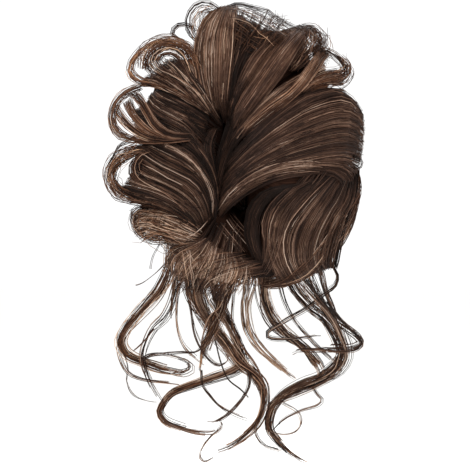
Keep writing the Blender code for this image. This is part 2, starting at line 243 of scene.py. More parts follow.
def makeFibre(name, look):
    # Modacrylic fibre, drawn and heat set, a little glassy: its tone carries painted shade, dark at the root
    # and lighter towards the end, and a painted warm glow of light passing through it at the rim and the tips
    material, tree, shader = newMaterial(name)
    tone = addNode(tree, "ShaderNodeAttribute", {"attribute_name": "strandTone"})
    warm = addNode(tree, "ShaderNodeAttribute", {"attribute_name": "strandPaintedGlow"})
    place = addNode(tree, "ShaderNodeTexCoord")
    both = tone
    for scale, amount in look["flecks"]:
        last = scale == look["flecks"][-1][0]
        flecks = addNode(tree, "ShaderNodeTexNoise", None,
                         {"Vector": place.outputs["Object"], "Scale": scale, "Detail": 2.0})
        spread = addNode(tree, "ShaderNodeMath", {"operation": "MULTIPLY_ADD"},
                         {0: flecks.outputs["Fac"], 1: amount, 2: -amount / 2})
        both = addNode(tree, "ShaderNodeMath", {"operation": "ADD", "use_clamp": last},
                       {0: both.outputs["Fac" if both is tone else 0], 1: spread.outputs[0]})
    ramp = addNode(tree, "ShaderNodeValToRGB", None, {"Fac": both.outputs[0]})
    setRamp(ramp, look["tones"])
    warmRamp = addNode(tree, "ShaderNodeValToRGB", None, {"Fac": both.outputs[0]})
    setRamp(warmRamp, look["glowTones"])
    blend = addNode(tree, "ShaderNodeMix", {"data_type": "RGBA"},
                    {0: warm.outputs["Fac"], 6: ramp.outputs["Color"], 7: warmRamp.outputs["Color"]})
    tree.links.new(blend.outputs[2], shader.inputs["Base Color"])
    shader.inputs["Roughness"].default_value = look["roughness"]
    shader.inputs["IOR"].default_value = look["ior"]
    shader.inputs["Specular IOR Level"].default_value = look["sheen"]
    return material


innerLook = {"dark": "#100a08", "light": "#34221a", "darkAt": 0.35, "lightAt": 0.72, "across": 150.0,
             "along": 3.0, "bump": 0.6, "bumpDepth": 0.001, "roughness": 0.7, "sheen": 0.0}


def makeInner(name, look):
    # The same fibre packed close inside a lock, coloured near black as painted shade for the little light
    # that comes there: streaks about 0.4 mm wide, as bump
    material, tree, shader = newMaterial(name)
    flow = addNode(tree, "ShaderNodeUVMap", {"uv_map": "flow"})
    mapping = addNode(tree, "ShaderNodeMapping", None,
                      {"Vector": flow.outputs["UV"], "Scale": (look["across"], look["along"], 1.0)})
    streaks = addNode(tree, "ShaderNodeTexNoise", None,
                      {"Vector": mapping.outputs[0], "Scale": 1.0, "Detail": 4.0})
    ramp = addNode(tree, "ShaderNodeValToRGB", None, {"Fac": streaks.outputs["Fac"]})
    setRamp(ramp, ((look["darkAt"], look["dark"]), (look["lightAt"], look["light"])))
    bump = addNode(tree, "ShaderNodeBump", None,
                   {"Height": streaks.outputs["Fac"], "Strength": look["bump"],
                    "Distance": look["bumpDepth"]})
    tree.links.new(ramp.outputs["Color"], shader.inputs["Base Color"])
    tree.links.new(bump.outputs["Normal"], shader.inputs["Normal"])
    shader.inputs["Roughness"].default_value = look["roughness"]
    shader.inputs["Specular IOR Level"].default_value = look["sheen"]
    return material


fibre = makeFibre("modacrylic_hair_fibre", fibreLook)
inner = makeInner("inner_hair_painted_shade", innerLook)


def makePlain(name, colour, roughness):
    material, _, shader = newMaterial(name)
    shader.inputs["Base Color"].default_value = hexColour(colour)
    shader.inputs["Roughness"].default_value = roughness
    return material


rubber = makePlain("black_rubber", "#0c0b0b", 0.7)      # extruded elastic core
cotton = makePlain("braided_polyester", "#191617", 0.75)  # spun yarn, braided over the rubber
print("Materials made")


# Geometry Nodes: a bundle of strands round each guide line

# wild strands stray further, bright ones catch the light, and every value varies from strand to strand
bundleLook = {
    "idStep": 131, "sides": 3, "noiseSpan": 90, "noiseDetail": 1.5, "calm": 0.5, "wild": 2.4,
    "wildPower": 3.0, "bright": 1.1, "brightPower": 4.5, "varied": 0.32, "dim": -0.14, "warm": (0.2, 1.3),
    "width": (0.7, 1.25),
}


def makeBundleTree(look):
    tree = bpy.data.node_groups.new("strandBundle", "GeometryNodeTree")
    tree.interface.new_socket("Geometry", in_out="OUTPUT", socket_type="NodeSocketGeometry")
    tree.interface.new_socket("Guides", in_out="INPUT", socket_type="NodeSocketGeometry")
    sockets = {"Copies": "Int", "Radius": "Float", "Side": "Float", "Out": "Float", "Wander": "Float",
               "Wander Scale": "Float", "Contrast": "Float", "Seed": "Int", "Material": "Material"}
    for name, kind in sockets.items():
        tree.interface.new_socket(name, in_out="INPUT", socket_type="NodeSocket" + kind)
    given = addNode(tree, "NodeGroupInput").outputs

    def attribute(name, kind="FLOAT"):
        node = addNode(tree, "GeometryNodeInputNamedAttribute", {"data_type": kind}, {"Name": name})
        return node.outputs[0]

    def maths(operation, a, b, c=None):
        values = {0: a, 1: b} if c is None else {0: a, 1: b, 2: c}
        return addNode(tree, "ShaderNodeMath", {"operation": operation}, values).outputs[0]

    def vectors(operation, a, b):
        return addNode(tree, "ShaderNodeVectorMath", {"operation": operation}, {0: a, 1: b}).outputs[0]

    def scaled(a, amount):
        node = addNode(tree, "ShaderNodeVectorMath", {"operation": "SCALE"}, {0: a})
        tree.links.new(amount, node.inputs["Scale"])
        return node.outputs[0]

    lines = addNode(tree, "GeometryNodeMeshToCurve", None, {"Mesh": given["Guides"]})
    many = addNode(tree, "GeometryNodeDuplicateElements", {"domain": "SPLINE"},
                   {"Geometry": lines.outputs[0], "Amount": given["Copies"]})
    number = addNode(tree, "FunctionNodeIntegerMath", {"operation": "MULTIPLY_ADD"},
                     {0: attribute("guideId", "INT"), 1: look["idStep"],
                      2: many.outputs["Duplicate Index"]}).outputs[0]

    def chance(low, high, salt):
        seed = addNode(tree, "FunctionNodeIntegerMath", {"operation": "ADD"}, {0: given["Seed"], 1: salt})
        node = addNode(tree, "FunctionNodeRandomValue", {"data_type": "FLOAT"},
                       {"ID": number, "Seed": seed.outputs[0]})
        node.inputs[2].default_value = low
        node.inputs[3].default_value = high
        return node.outputs[1]

    spread = attribute("spread")
    sideways = maths("MULTIPLY", maths("MULTIPLY", chance(-1, 1, 1), given["Side"]), spread)
    outwards = maths("MULTIPLY", maths("MULTIPLY", chance(-1, 1, 2), given["Out"]), spread)
    offset = vectors("ADD", scaled(attribute("sideDir", "FLOAT_VECTOR"), sideways),
                     scaled(attribute("outDir", "FLOAT_VECTOR"), outwards))
    place = addNode(tree, "GeometryNodeInputPosition").outputs[0]
    noise = addNode(tree, "ShaderNodeTexNoise", {"noise_dimensions": "4D"},
                    {"Vector": place, "W": chance(0, look["noiseSpan"], 3), "Scale": given["Wander Scale"],
                     "Detail": look["noiseDetail"]})
    middle = vectors("SUBTRACT", noise.outputs["Color"], (0.5, 0.5, 0.5))
    wild = maths("POWER", chance(0, 1, 4), look["wildPower"])
    amount = maths("MULTIPLY", maths("MULTIPLY", given["Wander"], attribute("loose")),
                   maths("MULTIPLY_ADD", wild, look["wild"], look["calm"]))
    moved = addNode(tree, "GeometryNodeSetPosition", None,
                    {"Geometry": many.outputs[0], "Offset": vectors("ADD", offset, scaled(middle, amount))})
    lit = maths("POWER", chance(0, 1, 8), look["brightPower"])
    bright = maths("MULTIPLY", lit, maths("MULTIPLY", attribute("tone"), look["bright"]))
    either = maths("ADD", chance(-look["varied"], look["varied"], 5), bright)
    varied = maths("MULTIPLY_ADD", either, given["Contrast"], look["dim"])
    tone = maths("ADD", attribute("tone"), varied)
    warm = maths("MULTIPLY", attribute("warm"), chance(*look["warm"], 6))
    stored = moved.outputs[0]
    for name, value in (("strandTone", tone), ("strandPaintedGlow", warm)):
        stored = addNode(tree, "GeometryNodeStoreNamedAttribute", {"data_type": "FLOAT", "domain": "POINT"},
                         {"Geometry": stored, "Name": name, "Value": value}).outputs[0]
    thinned = maths("MULTIPLY", given["Radius"], attribute("thin"))
    width = maths("MULTIPLY", thinned, chance(*look["width"], 7))
    ring = addNode(tree, "GeometryNodeCurvePrimitiveCircle", None,
                   {"Resolution": look["sides"], "Radius": 1.0})
    tubes = addNode(tree, "GeometryNodeCurveToMesh", None,
                    {"Curve": stored, "Profile Curve": ring.outputs[0], "Scale": width, "Fill Caps": True})
    rounded = addNode(tree, "GeometryNodeSetShadeSmooth", None, {"Geometry": tubes.outputs[0]})
    real = addNode(tree, "GeometryNodeRealizeInstances", None, {"Geometry": rounded.outputs[0]})
    done = addNode(tree, "GeometryNodeSetMaterial", None,
                   {"Geometry": real.outputs[0], "Material": given["Material"]})
    tree.links.new(done.outputs[0], addNode(tree, "NodeGroupOutput").inputs[0])
    return tree


bundleTree = makeBundleTree(bundleLook)


def guideMesh(name, guides):
    # guides is a list of dictionaries of arrays, one row for each point of a guide
    counts = [len(g["points"]) for g in guides]
    mesh = bpy.data.meshes.new(name)
    points = np.concatenate([g["points"] for g in guides])
    starts = np.cumsum([0] + counts)
    edges = [(i, i + 1) for s, c in zip(starts, counts) for i in range(s, s + c - 1)]
    mesh.from_pydata(points.tolist(), edges, [])
    for key in ("sideDir", "outDir"):
        values = np.concatenate([g[key] for g in guides]).astype(np.float32)
        mesh.attributes.new(key, "FLOAT_VECTOR", "POINT").data.foreach_set("vector", values.ravel())
    for key in ("spread", "loose", "tone", "warm", "thin"):
        values = np.concatenate([np.broadcast_to(g[key], (c,)) for g, c in zip(guides, counts)])
        mesh.attributes.new(key, "FLOAT", "POINT").data.foreach_set("value", values.astype(np.float32))
    ids = np.concatenate([np.full(c, i, np.int32) for i, c in enumerate(counts)])
    mesh.attributes.new("guideId", "INT", "POINT").data.foreach_set("value", ids)
    return mesh


def makeStrands(name, guides, look, seed, material):
    guide = bpy.data.objects.new(name + "_guides", guideMesh(name, guides))
    bpy.context.scene.collection.objects.link(guide)
    modifier = guide.modifiers.new("strands", "NODES")
    modifier.node_group = bundleTree
    named = {item.name: item.identifier for item in bundleTree.interface.items_tree}
    values = {"Copies": look["copies"], "Radius": look["radius"], "Side": look["side"], "Out": look["out"],
              "Wander": look["wander"], "Wander Scale": look["scale"], "Contrast": look.get("contrast", 1.0),
              "Seed": seed, "Material": material}
    for key, value in values.items():
        modifier[named[key]] = value
    evaluated = guide.evaluated_get(bpy.context.evaluated_depsgraph_get())
    mesh = bpy.data.meshes.new_from_object(evaluated)
    mesh.name = name
    piece = bpy.data.objects.new(name, mesh)
    bpy.context.scene.collection.objects.link(piece)
    old = guide.data
    bpy.data.objects.remove(guide)
    bpy.data.meshes.remove(old)
    if not mesh.materials:
        mesh.materials.append(material)
    return piece


def newGuide(points, out, **values):
    along = np.gradient(points, axis=0)
    out = unit(out)
    return {"points": points, "outDir": out, "sideDir": unit(np.cross(along, out)), **values}


# Lines picked on the photo, point by point, in its pixels from the left and the top

photo = {"mmPerPixel": 0.58, "ringAcross": 235, "ringDown": 147}


def picked(text):
    # across and up from the ring's centre, in mm, to the nearest tenth
    across, down = np.array([[float(v) for v in point.split(",")] for point in text.split()]).T
    away = np.stack((across - photo["ringAcross"], photo["ringDown"] - down), -1)
    return np.round(away * photo["mmPerPixel"], 1)


# Ribbons of strands laid on the front, each between its lines: lift in mm above the locks, loose and thin
# as shares of a strand's usual wander and width; wisps are thin loops of a few clumps

Ribbon = namedtuple("Ribbon", "node kind clumps tone warm lift loose thin lines")
ribbons = (
    Ribbon("lock_top", "body", 40, 0.69, 0.35, 0.6, 0.6, 1, (
        "213,118 203,100 197,80 194,57 199,32 210,15 221,9",
        "217,120 210,100 206,75 207,45 214,22 225,8",
        "222,118 219,95 219,65 221,35 228,8",
        "226,108 229,85 232,60 234,35 236,8")),
    Ribbon("lock_left_high", "loops", 11, 0.56, 1, 0.6, 1.6, 0.85, (
        "214,117 191,101 172,92 152,87 136,84 126,73 133,57 143,46 157,40 175,40 190,47 197,60",
        "213,115 191,99 172,90 153,84 141,79 133,70 138,60 147,52 159,46 174,46 187,53 194,66")),
    Ribbon("lock_left_high", "loops", 17, 0.46, 0.5, 1.2, 0.7, 1, (
        "213,114 190,95 168,82 152,76 146,66 149,57 158,50 172,47 184,52 192,66",
        "212,110 195,92 175,80 160,73 153,64 159,55 170,50 181,55 188,68 195,84",
        "210,106 196,90 180,78 168,71 163,63 168,58 176,61 186,76 197,96")),
    Ribbon("lock_left_high", "body", 30, 0.53, 0.3, 0.4, 0.6, 1, (
        "214,119 206,104 196,88 184,72 174,62",
        "214,119 203,107 188,92 174,78 162,68",
        "214,119 200,108 180,95 160,84 146,79",
        "214,119 197,106 175,95 157,87 140,86")),
    Ribbon("lock_left_mid", "loops", 15, 0.46, 0.8, 0.6, 0.9, 0.95, (
        "207,140 182,143 157,144 137,143 119,138 111,126 111,112 117,100 127,91 140,85",
        "206,136 182,140 160,142 141,140 125,133 116,122 117,110 122,101 131,95 143,90")),
    Ribbon("lock_left_mid", "loops", 16, 0.42, 0.8, 0.4, 0.7, 0.95, (
        "205,140 180,143 158,143 142,139 129,130 119,119 112,109",
        "205,137 182,140 162,140 147,135 134,126 124,115 118,104")),
    Ribbon("lock_left_mid", "loops", 14, 0.4, 0.5, 0.2, 0.6, 0.9, (
        "206,139 186,141 168,139 155,131 147,118 139,105 131,96 127,95",
        "207,135 188,136 172,133 160,124 152,112 146,102 141,95 138,91")),
    Ribbon("lock_left_mid", "loops", 20, 0.42, 0.6, -0.4, 0.6, 0.95, (
        "206,139 186,141 166,141 149,135 137,125 129,114 124,104",
        "206,138 187,140 168,138 152,130 141,119 134,108 131,99")),
    # painted shade: a dark, low layer in the hollow of the lock
    Ribbon("lock_left_mid", "body", 30, 0.3, 0.2, -1.6, 0.5, 1, (
        "211,138 198,136 184,132 167,125 155,117 148,106",
        "212,130 199,124 182,117 167,110 155,102 150,96",
        "214,123 202,115 187,104 172,97 158,91")),
    Ribbon("lock_left_low", "body", 46, 0.33, 0.2, 0.5, 0.5, 1, (
        "214,222 214,200 207,175 195,158 181,149 165,144 150,143",
        "212,224 208,200 197,182 177,171 160,163 145,152 136,149",
        "208,228 201,208 187,193 168,182 150,173 138,165",
        "203,231 193,216 176,203 155,193 138,188 126,185",
        "198,233 184,219 165,208 148,202 131,196 119,193")),
    # painted highlight: a lighter arc of strands where the sheen runs
    Ribbon("lock_left_low", "body", 8, 0.55, 0.1, 1, 0.5, 0.9, (
        "214,223 215,197 210,182 200,166 190,154 175,146 163,141",
        "211,222 211,200 205,183 195,168 183,158 170,151 156,147")),
    Ribbon("lock_left_low", "loops", 13, 0.44, 0.6, 0.4, 1, 0.85, (
        "200,232 180,218 160,209 140,206 125,203 112,196 106,184 106,170 113,158 122,150 140,147 160,148",
        "200,229 180,213 160,202 142,198 128,192 118,184 115,175 120,166 129,160 144,156 160,159")),
    Ribbon("lock_left_low", "loops", 16, 0.3, 0.5, 0, 1, 0.9, (
        "196,222 178,205 162,196 148,190 137,184 130,176 129,168 134,160 144,154 158,151",
        "196,220 180,201 166,190 154,182 145,175 141,167 145,160 156,156")),
    Ribbon("lock_left_low", "wisps", 2, 0.25, 0.3, 0.4, 1.2, 0.75, (
        "140,141 126,142 118,147 113,157 107,168",
        "146,143 130,144 120,149 115,158 109,167")),
    Ribbon("lock_lower_left", "body", 24, 0.6, 0.45, 0.4, 1.1, 0.95, (
        "204,232 190,222 170,212 155,209 142,210 133,213",
        "204,236 190,228 172,220 155,216 142,218 133,222",
        "203,239 188,236 170,230 155,227 144,230 138,234",
        "203,241 190,242 175,239 162,238 153,241")),
    Ribbon("lock_lower_left", "wisps", 4, 0.35, 0.6, 0.6, 1.6, 0.8, (
        "187,241 167,243 153,243 141,238 132,228 130,216 134,208 147,205",
        "187,236 167,238 153,238 144,233 138,226 137,217 141,211 150,209")),
    Ribbon("lock_gather", "edge", 50, 0.8, 0.4, 0.8, 1.2, 0.95, (
        "206,238 193,243 178,246 168,252 166,262 169,272",
        "209,240 202,250 192,260 185,270 181,281",
        "214,246 210,258 204,268 200,280",
        "222,250 221,260 217,270 214,282",
        "234,254 238,264 236,274 230,284",
        "246,258 256,268 262,276 264,285")),
    Ribbon("lock_gather", "edge", 12, 0.52, 0.3, 1.8, 1.2, 0.95, (
        "274,272 252,275 236,280 226,288 221,300",
        "262,260 241,264 223,271 209,282 203,293",
        "240,252 222,256 204,263 190,275 183,288")),
    Ribbon("lock_right_roll", "edge", 66, 0.51, 0.15, 0.4, 0.6, 1, (
        "300,186 285,190 274,199 265,212 262,230 268,255 280,279",
        "316,180 297,190 282,204 273,220 270,240 275,262 288,282",
        "330,175 311,192 295,209 283,226 280,245 284,262 295,280",
        "336,178 322,196 309,214 299,232 295,250 298,266 306,277",
        "344,180 335,198 323,216 314,235 310,252 312,264 318,272",
        "352,182 349,200 340,216 332,235 328,250 326,262 328,268",
        "357,172 355,195 348,214 343,234 340,250 338,262 336,268")),
    # painted shade: dark strands on the roll's inner side, by the hollow
    Ribbon("lock_right_roll", "edge", 26, 0.22, 0.05, 0, 0.6, 1, (
        "292,186 270,190 254,200 247,216 246,236 254,256 266,274",
        "302,186 283,190 268,201 259,217 257,235 262,256 273,278")),
    Ribbon("lock_right_roll", "edge", 8, 0.44, 0.05, 0.9, 0.5, 0.9, (
        "312,183 296,196 283,211 277,227 274,246",
        "328,178 310,193 297,209 288,224 283,240")),
    Ribbon("lock_right_swoop", "body", 66, 0.48, 0.12, 0.4, 0.5, 1, (
        "222,165 240,148 256,132 274,115 292,101 310,93 325,89 342,88",
        "218,180 238,160 258,141 280,124 304,108 325,100 343,97 354,104 362,115",
        "215,200 232,178 254,158 282,140 310,126 335,118 352,119 363,130",
        "214,212 229,190 249,174 280,159 310,149 335,143 352,143 362,150",
        "214,216 228,197 248,181 275,170 305,163 330,160 348,160 359,164",
        "216,220 228,203 247,188 270,176 298,170 320,167 339,170 350,178 352,190",
        "217,223 229,208 249,193 272,182 297,176 317,174 332,177 341,186 343,198")),
    # painted highlight: a band of light strands where the sheen runs across the swoop
    Ribbon("lock_right_swoop", "body", 18, 0.84, 0.05, 1, 0.4, 0.9, (
        "217,213 231,195 249,180 266,172 285,167 305,166 328,170",
        "216,209 231,189 249,174 268,165 288,161 310,160 330,164",
        "217,219 231,201 249,187 268,179 288,174 310,172 330,173")),
    Ribbon("lock_right_swoop", "body", 7, 0.44, 0.05, 0.9, 0.4, 0.9, (
        "232,178 242,165 258,148 274,136 290,127 308,120",
        "228,190 244,172 262,156 280,146 300,138 320,134")),
    Ribbon("lock_ridge", "body", 18, 0.62, 0.5, 0.8, 0.5, 1, (
        "230,142 247,125 266,109 287,94 300,79 309,65 316,55 323,48",
        "236,145 254,132 272,117 292,101 306,87 315,74 322,62 328,54")),
    Ribbon("lock_ridge", "loops", 9, 0.44, 0.6, 0.2, 1.2, 0.85, (
        "300,94 315,86 328,85 341,84 350,77 351,68 341,57 330,50 320,48 312,52",
        "302,90 315,81 327,79 337,76 342,69 338,62 330,56 322,54 315,59")),
    Ribbon("lock_ridge", "frizz", 16, 0.55, 1, 0.4, 0.8, 0.9, (
        "303,98 315,90 328,87 341,84 349,77 351,68",
        "308,84 319,76 331,72 342,70 346,62 338,54")),
    Ribbon("lock_ridge", "body", 14, 0.55, 1, 0.4, 0.8, 0.95, (
        "296,100 307,92 319,88 331,85 343,85",
        "300,92 309,83 319,77 331,73 341,71")),
    Ribbon("lock_top_right_outer", "body", 44, 0.61, 0.25, 0.5, 0.5, 1, (
        "232,138 247,119 262,102 277,84 289,65 298,50 305,40 309,33",
        "230,134 243,114 256,96 268,78 280,60 292,44 300,34 305,27",
        "228,128 236,110 246,92 258,74 270,57 281,43 292,33 299,27",
        "226,122 231,104 238,86 248,66 260,50 272,40 284,33 293,30")),
    Ribbon("lock_top_right_outer", "loops", 9, 0.42, 0.5, 0, 1.2, 0.85, (
        "290,75 300,62 310,55 320,51 326,44 325,36 316,28 305,25",
        "294,68 302,57 310,50 316,44 316,37 311,31 303,28")),
    Ribbon("lock_top_right_outer", "frizz", 20, 0.47, 0.6, 0, 1, 0.9, (
        "288,72 297,58 303,46 306,36 303,28",
        "296,70 308,58 318,50 324,42 320,32")),
    Ribbon("lock_top_right_outer", "frizz", 10, 0.42, 0.6, 0.5, 1, 0.9, (
        "296,27 305,34 312,44 318,54 322,64",
        "302,25 314,29 322,38 327,48 333,56")),
    # painted shade: dark strands low in the sunken inner lock
    Ribbon("lock_top_right_inner", "body", 24, 0.18, 0.2, -0.6, 0.6, 1, (
        "227,117 233,96 239,76 247,58 258,46 272,39 285,34",
        "227,112 230,90 234,68 239,50 245,38 254,30")),
    Ribbon("lock_top_right_inner", "frizz", 20, 0.48, 0.6, 0, 1, 0.9, (
        "226,5 243,6 262,14 281,26 299,36",
        "226,16 240,21 255,31 270,42 284,50",
        "224,34 236,40 248,47 260,54")),
    Ribbon("lock_top_right_inner", "frizz", 16, 0.32, 0.6, 0.6, 1, 0.9, (
        "231,60 237,44 244,28 250,10",
        "244,58 254,42 265,28 272,13",
        "262,52 274,40 284,30 290,22")),
    Ribbon("lock_top_right_inner", "wisps", 2, 0.3, 0.3, 0, 1.2, 0.75, (
        "225,6 238,3 254,6 266,8 276,16 287,22 298,27",
        "226,9 239,6 254,10 265,12 275,19 286,26 297,30")),
    Ribbon("lock_top", "frizz", 9, 0.48, 1, 0, 1, 0.8, (
        "203,52 196,40 191,28 193,15 202,7 214,9",
        "207,46 203,35 202,25 207,16 217,12")),
    Ribbon("lock_top", "wisps", 2, 0.3, 0.35, 0, 0.6, 0.8, (
        "196,42 187,32 186,18 191,8 198,2 209,2 217,7 223,12",
        "197,40 190,31 188,19 193,10 199,5 208,5 215,9 222,14")),
    Ribbon("lock_left_high", "frizz", 14, 0.56, 1, 1, 0.9, 0.9, (
        "140,70 142,56 150,46 162,41 178,42 192,50 200,64",
        "152,72 153,60 161,51 174,48 186,54 194,66 199,80")),
    Ribbon("lock_left_low", "frizz", 14, 0.52, 1, 0.2, 0.8, 0.9, (
        "150,204 132,201 117,194 108,182 108,168 115,157 128,149 145,146",
        "150,198 136,194 122,187 116,178 119,169 128,162 140,156 152,153")),
    Ribbon("lock_lower_left", "frizz", 26, 0.68, 0.6, 0.8, 1, 0.9, (
        "196,236 176,226 158,219 143,216 134,219",
        "196,244 178,240 160,235 146,234 139,238")),
    Ribbon("lock_lower_left", "frizz", 8, 0.62, 0.6, 0.8, 1, 0.9, (
        "150,208 146,218 147,230 156,241 170,247",
        "172,212 168,224 172,236 184,246 198,252")),
    Ribbon("lock_gather", "frizz", 22, 0.66, 0.4, 1.2, 1, 0.9, (
        "170,246 176,256 180,268 180,284",
        "196,244 198,258 200,272 201,290",
        "222,252 222,264 221,276 219,294",
        "250,262 250,270 247,278 242,290")),
    Ribbon("lock_gather", "frizz", 10, 0.5, 0.4, 1.2, 1, 0.9, (
        "256,262 240,266 222,274 206,286 196,298",
        "240,252 218,256 198,262 180,272 170,284")),
    Ribbon("lock_left_high", "wisps", 2, 0.25, 0.2, 0, 0.6, 0.9, (
        "188,44 177,38 170,33 172,27 178,23 187,23 196,28",
        "187,45 178,41 173,35 175,30 180,26 187,26 195,31")),
    Ribbon("lock_right_swoop", "wisps", 1, 0.3, 0.5, 0, 0.4, 0.8, (
        "350,156 357,157 362,161 362,166 357,169 350,168",
        "350,157 356,158 360,162 360,166 356,168 350,167")),
    # painted shade: dark strands laid low along the partings, in the valleys between locks
    Ribbon("lock_right_swoop", "edge", 16, 0.26, 0.1, -0.6, 0.5, 1, (
        "229,118 224,136 218,158 214,184 212,212",
        "236,124 229,142 221,164 216,190 213,216",
        "246,128 236,146 226,168 219,192 214,218")),
    Ribbon("lock_left_low", "edge", 12, 0.25, 0.1, -1.2, 0.5, 1, (
        "214,222 218,196 214,172 205,154 194,144 182,140",
        "214,222 215,198 210,177 200,161 188,150 174,144")),
    Ribbon("lock_left_mid", "edge", 12, 0.22, 0.05, -2, 0.5, 1, (
        "212,190 207,168 203,152 206,138 214,126",
        "216,180 214,162 212,150 215,136 220,124")),
    # painted highlights: lighter strands across the dark hollow
    Ribbon("centre_twist", "loops", 8, 0.62, 0, -2.5, 1.4, 0.8, (
        "212,224 222,236 233,248 242,260",
        "231,212 239,224 249,236 258,246")),
    Ribbon("centre_twist", "loops", 2, 0.5, 0, -2.5, 1.4, 0.8, (
        "238,220 230,232 223,243 219,252",
        "243,228 236,238 229,250 226,256")),
)


mapLook = {"left": -0.080, "right": 0.0821, "bottom": -0.094, "top": 0.0881, "step": 0.002, "nearest": 6,
           "blur": 0.0004}


def makeDepthMap(look):
    # how far forward the locks' outside lies, on a grid over the front
    t, u = np.meshgrid(np.linspace(0.02, 1, 34), np.linspace(0.02, 0.98, 20), indexing="ij")
    samples = np.concatenate([lockPoint(lock, t, u).reshape(-1, 3) for lock in locks])
    xs = np.arange(look["left"], look["right"], look["step"])
    zs = np.arange(look["bottom"], look["top"], look["step"])
    grid = np.zeros((len(xs), len(zs)))
    for i, x in enumerate(xs):
        apart = np.hypot(samples[None, :, 0] - x, samples[None, :, 2] - zs[:, None])
        near = np.argpartition(apart, look["nearest"], axis=1)[:, :look["nearest"]]
        weight = 1 / (np.take_along_axis(apart, near, 1) + look["blur"]) ** 2
        grid[i] = np.sum(weight * samples[near, 1], 1) / np.sum(weight, 1)
    return xs, zs, grid


depthMap = makeDepthMap(mapLook)


def frontDepth(x, z):
    xs, zs, grid = depthMap
    i = np.clip((x - xs[0]) / (xs[1] - xs[0]), 0, len(xs) - 1.001)
    k = np.clip((z - zs[0]) / (zs[1] - zs[0]), 0, len(zs) - 1.001)
    i0, k0 = i.astype(int), k.astype(int)
    a, b = i - i0, k - k0
    low = mix(grid[i0, k0], grid[i0 + 1, k0], a)
    return mix(low, mix(grid[i0, k0 + 1], grid[i0 + 1, k0 + 1], a), b)


def evenLine(points, count):
    # evenly spaced points on a smooth curve through the given ones
    points = np.asarray(points, float)
    padded = np.concatenate(([2 * points[0] - points[1]], points, [2 * points[-1] - points[-2]]))
    fine = []
    steps = np.linspace(0, 1, 12, endpoint=False)[:, None]
    for p0, p1, p2, p3 in zip(padded, padded[1:], padded[2:], padded[3:]):
        k0, k1, k2 = (math.sqrt(np.linalg.norm(b - a)) for a, b in ((p0, p1), (p1, p2), (p2, p3)))
        leave = ((p1 - p0) / k0 - (p2 - p0) / (k0 + k1) + (p2 - p1) / k1) * k1
        arrive = ((p2 - p1) / k1 - (p3 - p1) / (k1 + k2) + (p3 - p2) / k2) * k1
        keep = 2 * steps ** 3 - 3 * steps ** 2 + 1
        fine.append(p1 * keep + leave * (steps ** 3 - 2 * steps ** 2 + steps)
                    + p2 * (1 - keep) + arrive * (steps ** 3 - steps ** 2))
    fine = np.concatenate(fine + [points[-1:]])
    reached = np.concatenate(([0.0], np.cumsum(np.linalg.norm(np.diff(fine, axis=0), axis=1))))
    wanted = np.linspace(0, reached[-1], count)
    return np.stack([np.interp(wanted, reached, fine[:, k]) for k in range(fine.shape[1])], -1)


# shares along a strand, and how far its tone shifts there: painted shade, darkest at the root
ribbonShade = ((0, 0.15, 0.5, 0.85, 1), (-0.34, -0.12, 0.06, 0.04, -0.04))

# spacing of a guide's points in mm, how deep its root dives in metres, how much painted shade darkens its
# edges and
# its ends, and how many guides are drawn: the clumps in the table times one number, plus another
ribbonLook = {
    "body": {"spacing": 5.5, "dive": 0.010, "rim": 0.24, "ends": 1.0, "times": 1.35, "plus": 0},
    "edge": {"spacing": 5.5, "dive": 0.0025, "rim": 0.24, "ends": 1.0, "times": 1.35, "plus": 0},
    "loops": {"spacing": 4.3, "dive": 0.010, "rim": 0.0, "ends": 1.0, "times": 1.35, "plus": 0},
    "wisps": {"spacing": 4.3, "dive": 0.010, "rim": 0.0, "ends": 1.0, "times": 2, "plus": 2},
    "frizz": {"spacing": 3.0, "dive": 0.003, "rim": 0.0, "ends": 0.2, "times": 1, "plus": 0},
}


def ribbonGuides(ribbon, rng, contrast=1.0):
    # guides spread evenly across the ribbon's lines
    look = ribbonLook[ribbon.kind]
    lines = [picked(text) for text in ribbon.lines]
    longest = max(np.sum(np.linalg.norm(np.diff(line, axis=0), axis=1)) for line in lines)
    count = int(np.clip(longest / look["spacing"], 9, 30))
    flat = np.stack([evenLine(line, count) for line in lines]) * 0.001
    total = round(ribbon.clumps * look["times"]) + look["plus"]
    guides = []
    for n in range(total):
        place = (n + rng.uniform(0, 1)) / total * (len(lines) - 1)
        first = min(int(place), len(lines) - 2)
        xz = mix(flat[first], flat[first + 1], place - first)
        s = np.linspace(0, 1, count)
        x, z = xz[:, 0], xz[:, 1]
        y = frontDepth(x, z)
        y = np.convolve(np.pad(y, 2, "edge"), (0.1, 0.2, 0.4, 0.2, 0.1), "valid")
        level = rng.uniform(-1, 1)
        out = unit(np.stack((x * 0.5, np.full(count, -0.07), z * 0.5), -1))
        points = np.stack((x, y, z), -1) + out * (ribbon.lift + 0.7 * level - 0.3) * 0.001
        points[:, 1] += look["dive"] * (1 - smooth(s / 0.16)) ** 2 + 0.007 * smooth((s - 0.88) / 0.12)
        # painted shade: darker at the root and at the ribbon's edges, lighter the higher a strand lies
        ends = look["ends"] * np.interp(s, *ribbonShade)
        rim = look["rim"] * abs(2 * (n + 0.5) / total - 1) ** 4
        tone = ribbon.tone + ends - rim + contrast * (0.08 * level + rng.normal(0, 0.08))
        # painted glow: warmer from halfway to the tip, where light passes through
        warm = ribbon.warm * rng.uniform(0.3, 1.0) * np.interp(s, (0, 0.5, 1), (0.3, 1, 1))
        spread = np.interp(s, (0, 0.3, 1), (0.5, 1, 0.9))
        loose = ribbon.loose * np.interp(s, (0, 0.2, 1), (0.3, 0.8, 1))
        guides.append(newGuide(points, out, spread=spread, loose=loose, tone=tone, warm=warm,
                               thin=ribbon.thin * np.interp(s, (0, 0.9, 1), (1, 1, 0.6))))
    return guides


def dress(piece, node=None):
    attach(piece, "root")
    if node:
        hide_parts(node)


